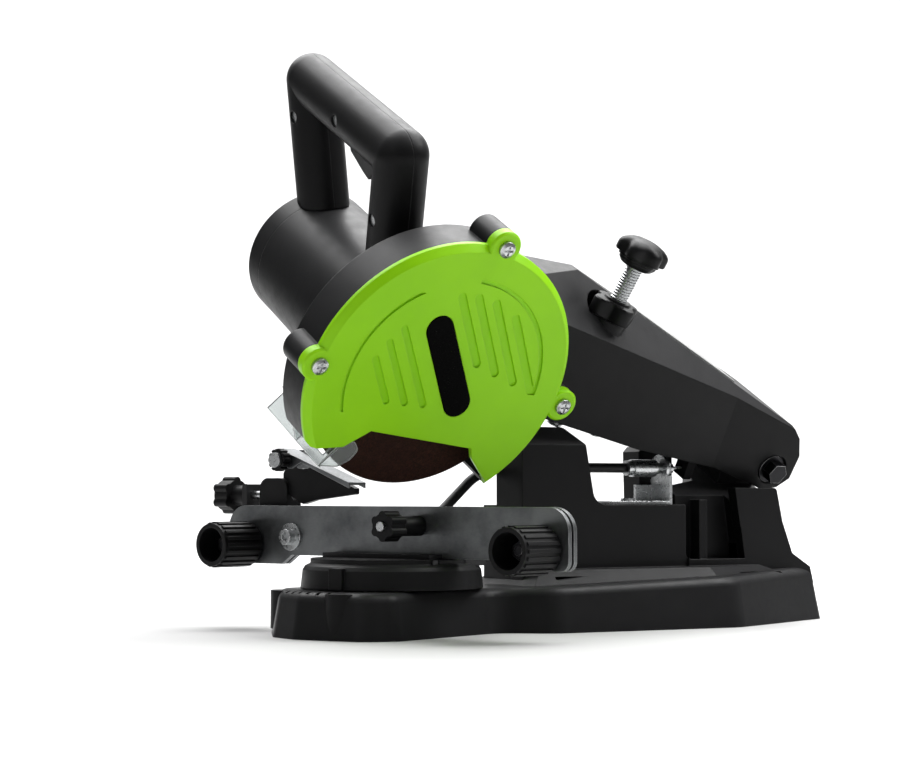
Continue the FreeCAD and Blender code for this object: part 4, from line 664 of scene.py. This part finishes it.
# %% Rings about the stop's axis
STOP_FOOT = Vector((83, 12, -31.1))
STOP_LEAN = math.radians(11.5)
stop_axis = Vector((math.sin(STOP_LEAN), 0, math.cos(STOP_LEAN)))


def stop_ring(height, reaches, side):
    """Points about the stop's axis in millimetres, one for each reach, counted from a side."""
    other = stop_axis.cross(side)
    middle = STOP_FOOT + stop_axis * height
    return [on_head(middle + reach * (side * math.cos(turn) + other * math.sin(turn)))
            for reach, turn in zip(reaches, turns(len(reaches)))]


def stand_in(made, material, solid):
    """Dresses a new piece and shows it in place of a solid."""
    dress(made, material)
    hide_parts(solid)


print("stop's axis", [round(v, 3) for v in stop_axis])

# %% [markdown]
# ### The screw thread
# A thread is a ridge that winds round a rod. It could be a bump in the finish, but a bump
# doesn't change the outline, and the thread's teeth show against the light. So a fine grid of
# rings carries it: each point lies further out or in by where it is along the pitch, counted
# from its own angle. Near both ends the ridge runs out, as a cut thread does.

# %% The thread of the stop rod
THREAD_LENGTH = 88
THREAD_RADIUS = 4
THREAD_PITCH = 1.25
THREAD_DEPTH = 0.6
AROUND_THREAD = 24
RINGS_PER_PITCH = 6
RUN_OUT = 0.8 * THREAD_PITCH

thread_rings = []
ring_count = int(THREAD_LENGTH / THREAD_PITCH * RINGS_PER_PITCH)
for i in range(ring_count + 1):
    run = THREAD_LENGTH * i / ring_count
    full = min(1, run / RUN_OUT, (THREAD_LENGTH - run) / RUN_OUT)
    crest = THREAD_RADIUS - (1 - full) * THREAD_DEPTH
    waves = [abs(((run / THREAD_PITCH - k / AROUND_THREAD) % 1) * 2 - 1)
             for k in range(AROUND_THREAD)]
    thread_rings.append(stop_ring(run, [crest - THREAD_DEPTH * wave for wave in waves],
                                  stop_axis.orthogonal().normalized()))

thread = piece("stop_rod_thread", skin("stop_rod_thread", thread_rings), "stop_rod")
stand_in(thread, zinc_steel, "stop_rod")
print("stop rod thread has", len(thread.data.vertices), "points")

# %% [markdown]
# ### The two knobs
# The star knob and the lock knob are moulded with soft lobes for the fingers. Lobes cut from
# cylinders would have hard corners. Each knob is made like a turned part instead: an outline
# of radius and height is spun round the axis, and the radius is drawn in between the lobes,
# more so the further out the point lies.

# %% How a lobed knob is made
AROUND_KNOB = 96
VALLEY_WIDTH = 1.4
HUB_STAYS_ROUND = 3


def lobed_knob(name, outline, lobes, draw, solid):
    """A knob spun from (radius, height) points in millimetres. Its body is named as its solid."""
    widest = max(radius for radius, height in outline)
    rings = []
    for radius, height in outline:
        reaches = []
        for turn in turns(AROUND_KNOB if radius > 0 else 1):
            valley = (0.5 - 0.5 * math.cos(lobes * turn)) ** VALLEY_WIDTH
            reaches.append(radius * (1 - draw * valley * (radius / widest) ** HUB_STAYS_ROUND))
        rings.append(stop_ring(height, reaches, Vector((0, 1, 0))))
    made = piece(name, skin(name, rings, capped=False), solid)
    shade(made)
    stand_in(made, knob_plastic, solid)
    return made


print("helper ready: lobed_knob")

# %% The star knob and the lock knob
BORE = 4.06
STAR_OUTLINE = (
    (0, 91.9), (3, 91.85), (6, 91.4), (8.5, 90.6), (10.2, 89.6), (11.2, 88.7), (11.65, 87.8),
    (11.8, 86.8), (11.75, 84.2), (11.4, 83.7), (10.0, 83.6), (9.6, 83.2), (9.5, 82.4), (8.8, 82.2),
    (8.6, 81.1), (7.2, 79.6), (6.2, 79.2), (BORE, 79.05), (BORE, 87.9), (0, 87.9))
LOCK_OUTLINE = (
    (BORE, 63.2), (5.4, 63.4), (6.4, 63.2), (6.8, 62.3), (9.4, 62.2), (10.9, 61.9), (11.5, 61.3),
    (11.7, 60.4), (11.6, 55.6), (11.2, 54.6), (9.8, 54.2), (BORE, 54.15), (BORE, 63.2))

star = lobed_knob("stop_star_knob", STAR_OUTLINE, lobes=6, draw=0.2, solid="stop_knob")
lock = lobed_knob("stop_lock_knob", LOCK_OUTLINE, lobes=4, draw=0.38, solid="lock_knob")
print("knobs:", star.name, lock.name)

# %% [markdown]
# ## The studio
# The machine stands on a pale sweep. A floor and a wall would meet in a line behind it, and a
# sweep curves up from one to the other, so that no horizon shows. It is squared to the
# camera, which keeps its edges out of view.

# %% The sweep
FLOOR_NEAR, FLOOR_FAR = -2.5, 3.2
SWEEP_HALF_WIDTH = 4.0
BEND_RADIUS = 1.2
BEND_STEPS = 12
WALL_TOP = 4.0

bend_start = FLOOR_FAR - BEND_RADIUS
profile = [(FLOOR_NEAR, 0.0), (bend_start, 0.0)]
for i in range(1, BEND_STEPS + 1):
    rise = math.pi / 2 * i / BEND_STEPS
    profile.append((bend_start + BEND_RADIUS * math.sin(rise),
                    BEND_RADIUS - BEND_RADIUS * math.cos(rise)))
profile.append((FLOOR_FAR, WALL_TOP))

corners = [level_ahead * run + sideways * (side * SWEEP_HALF_WIDTH) + Vector((0, 0, height))
           for run, height in profile for side in (-1, 1)]
strips = [(2 * i, 2 * i + 1, 2 * i + 3, 2 * i + 2) for i in range(len(profile) - 1)]
sweep_mesh = bpy.data.meshes.new("studio_sweep")
sweep_mesh.from_pydata(corners, [], strips)
sweep = piece("studio_sweep", sweep_mesh)
print("sweep has", len(strips), "strips")

# %% The sweep's paper
paper, paper_tree, paper_shader = finish("studio_paper")
paper_clouds = noise(paper_tree, place_on_part(paper_tree), 3, detail=2)
paper_tone = blended(paper_tree, paper_clouds, colour("#bcbcbc"), colour("#c0c0c0"))
paper_tree.links.new(paper_tone, paper_shader.inputs["Base Color"])
paper_shader.inputs["Roughness"].default_value = 0.9
paper_shader.inputs["Specular IOR Level"].default_value = 0.1
dress(sweep, paper)
print("sweep finish:", paper.name)

# %% [markdown]
# ## The lights
# Black plastic shows little but reflections, so large soft lights are needed: small ones
# would only leave hot spots. The largest hangs above and behind, a weak one fills from the
# left, and a third stands where the arm's bevel mirrors it to the camera. A fourth washes the
# wall, and a dim sky keeps the black parts from going flat.

# %% Soft lights
def soft_light(name, place, target, size, watts):
    """A flat rectangular light, its size in metres, aimed from a place at a target."""
    lamp = bpy.data.lights.new(name, "AREA")
    lamp.shape = "RECTANGLE"
    lamp.size, lamp.size_y = size
    lamp.energy = watts
    holder = bpy.data.objects.new(name, lamp)
    aim = (Vector(target) - Vector(place)).to_track_quat("-Z", "Y").to_matrix().to_4x4()
    holder.matrix_world = Matrix.Translation(place) @ aim
    bpy.context.collection.objects.link(holder)


MACHINE_MIDDLE = (0.06, 0.0, 0.1)
ARM_BEVEL = (0.15, 0.0, 0.15)
WALL_FOOT = (1.7, 2.6, 0.6)
soft_light("overhead_box", (0.3, 0.5, 1.7), MACHINE_MIDDLE, (2.2, 2.2), watts=74)
soft_light("left_fill", (-1.6, -0.6, 0.8), MACHINE_MIDDLE, (1.2, 1.4), watts=3)
soft_light("arm_box", (0.86, -0.49, 1.13), ARM_BEVEL, (0.7, 0.9), watts=18)
soft_light("wall_wash", (0.9, 1.3, 2.6), WALL_FOOT, (3.0, 1.5), watts=165)

# %% Dim sky and plain colours
SKY_STRENGTH = 0.08

world = bpy.data.worlds.new("studio_air")
world.use_nodes = True
sky = world.node_tree.nodes["Background"]
sky.inputs["Color"].default_value = (1, 1, 1, 1)
sky.inputs["Strength"].default_value = SKY_STRENGTH
bpy.context.scene.world = world
bpy.context.scene.view_settings.view_transform = "Standard"
print("sky strength", SKY_STRENGTH)
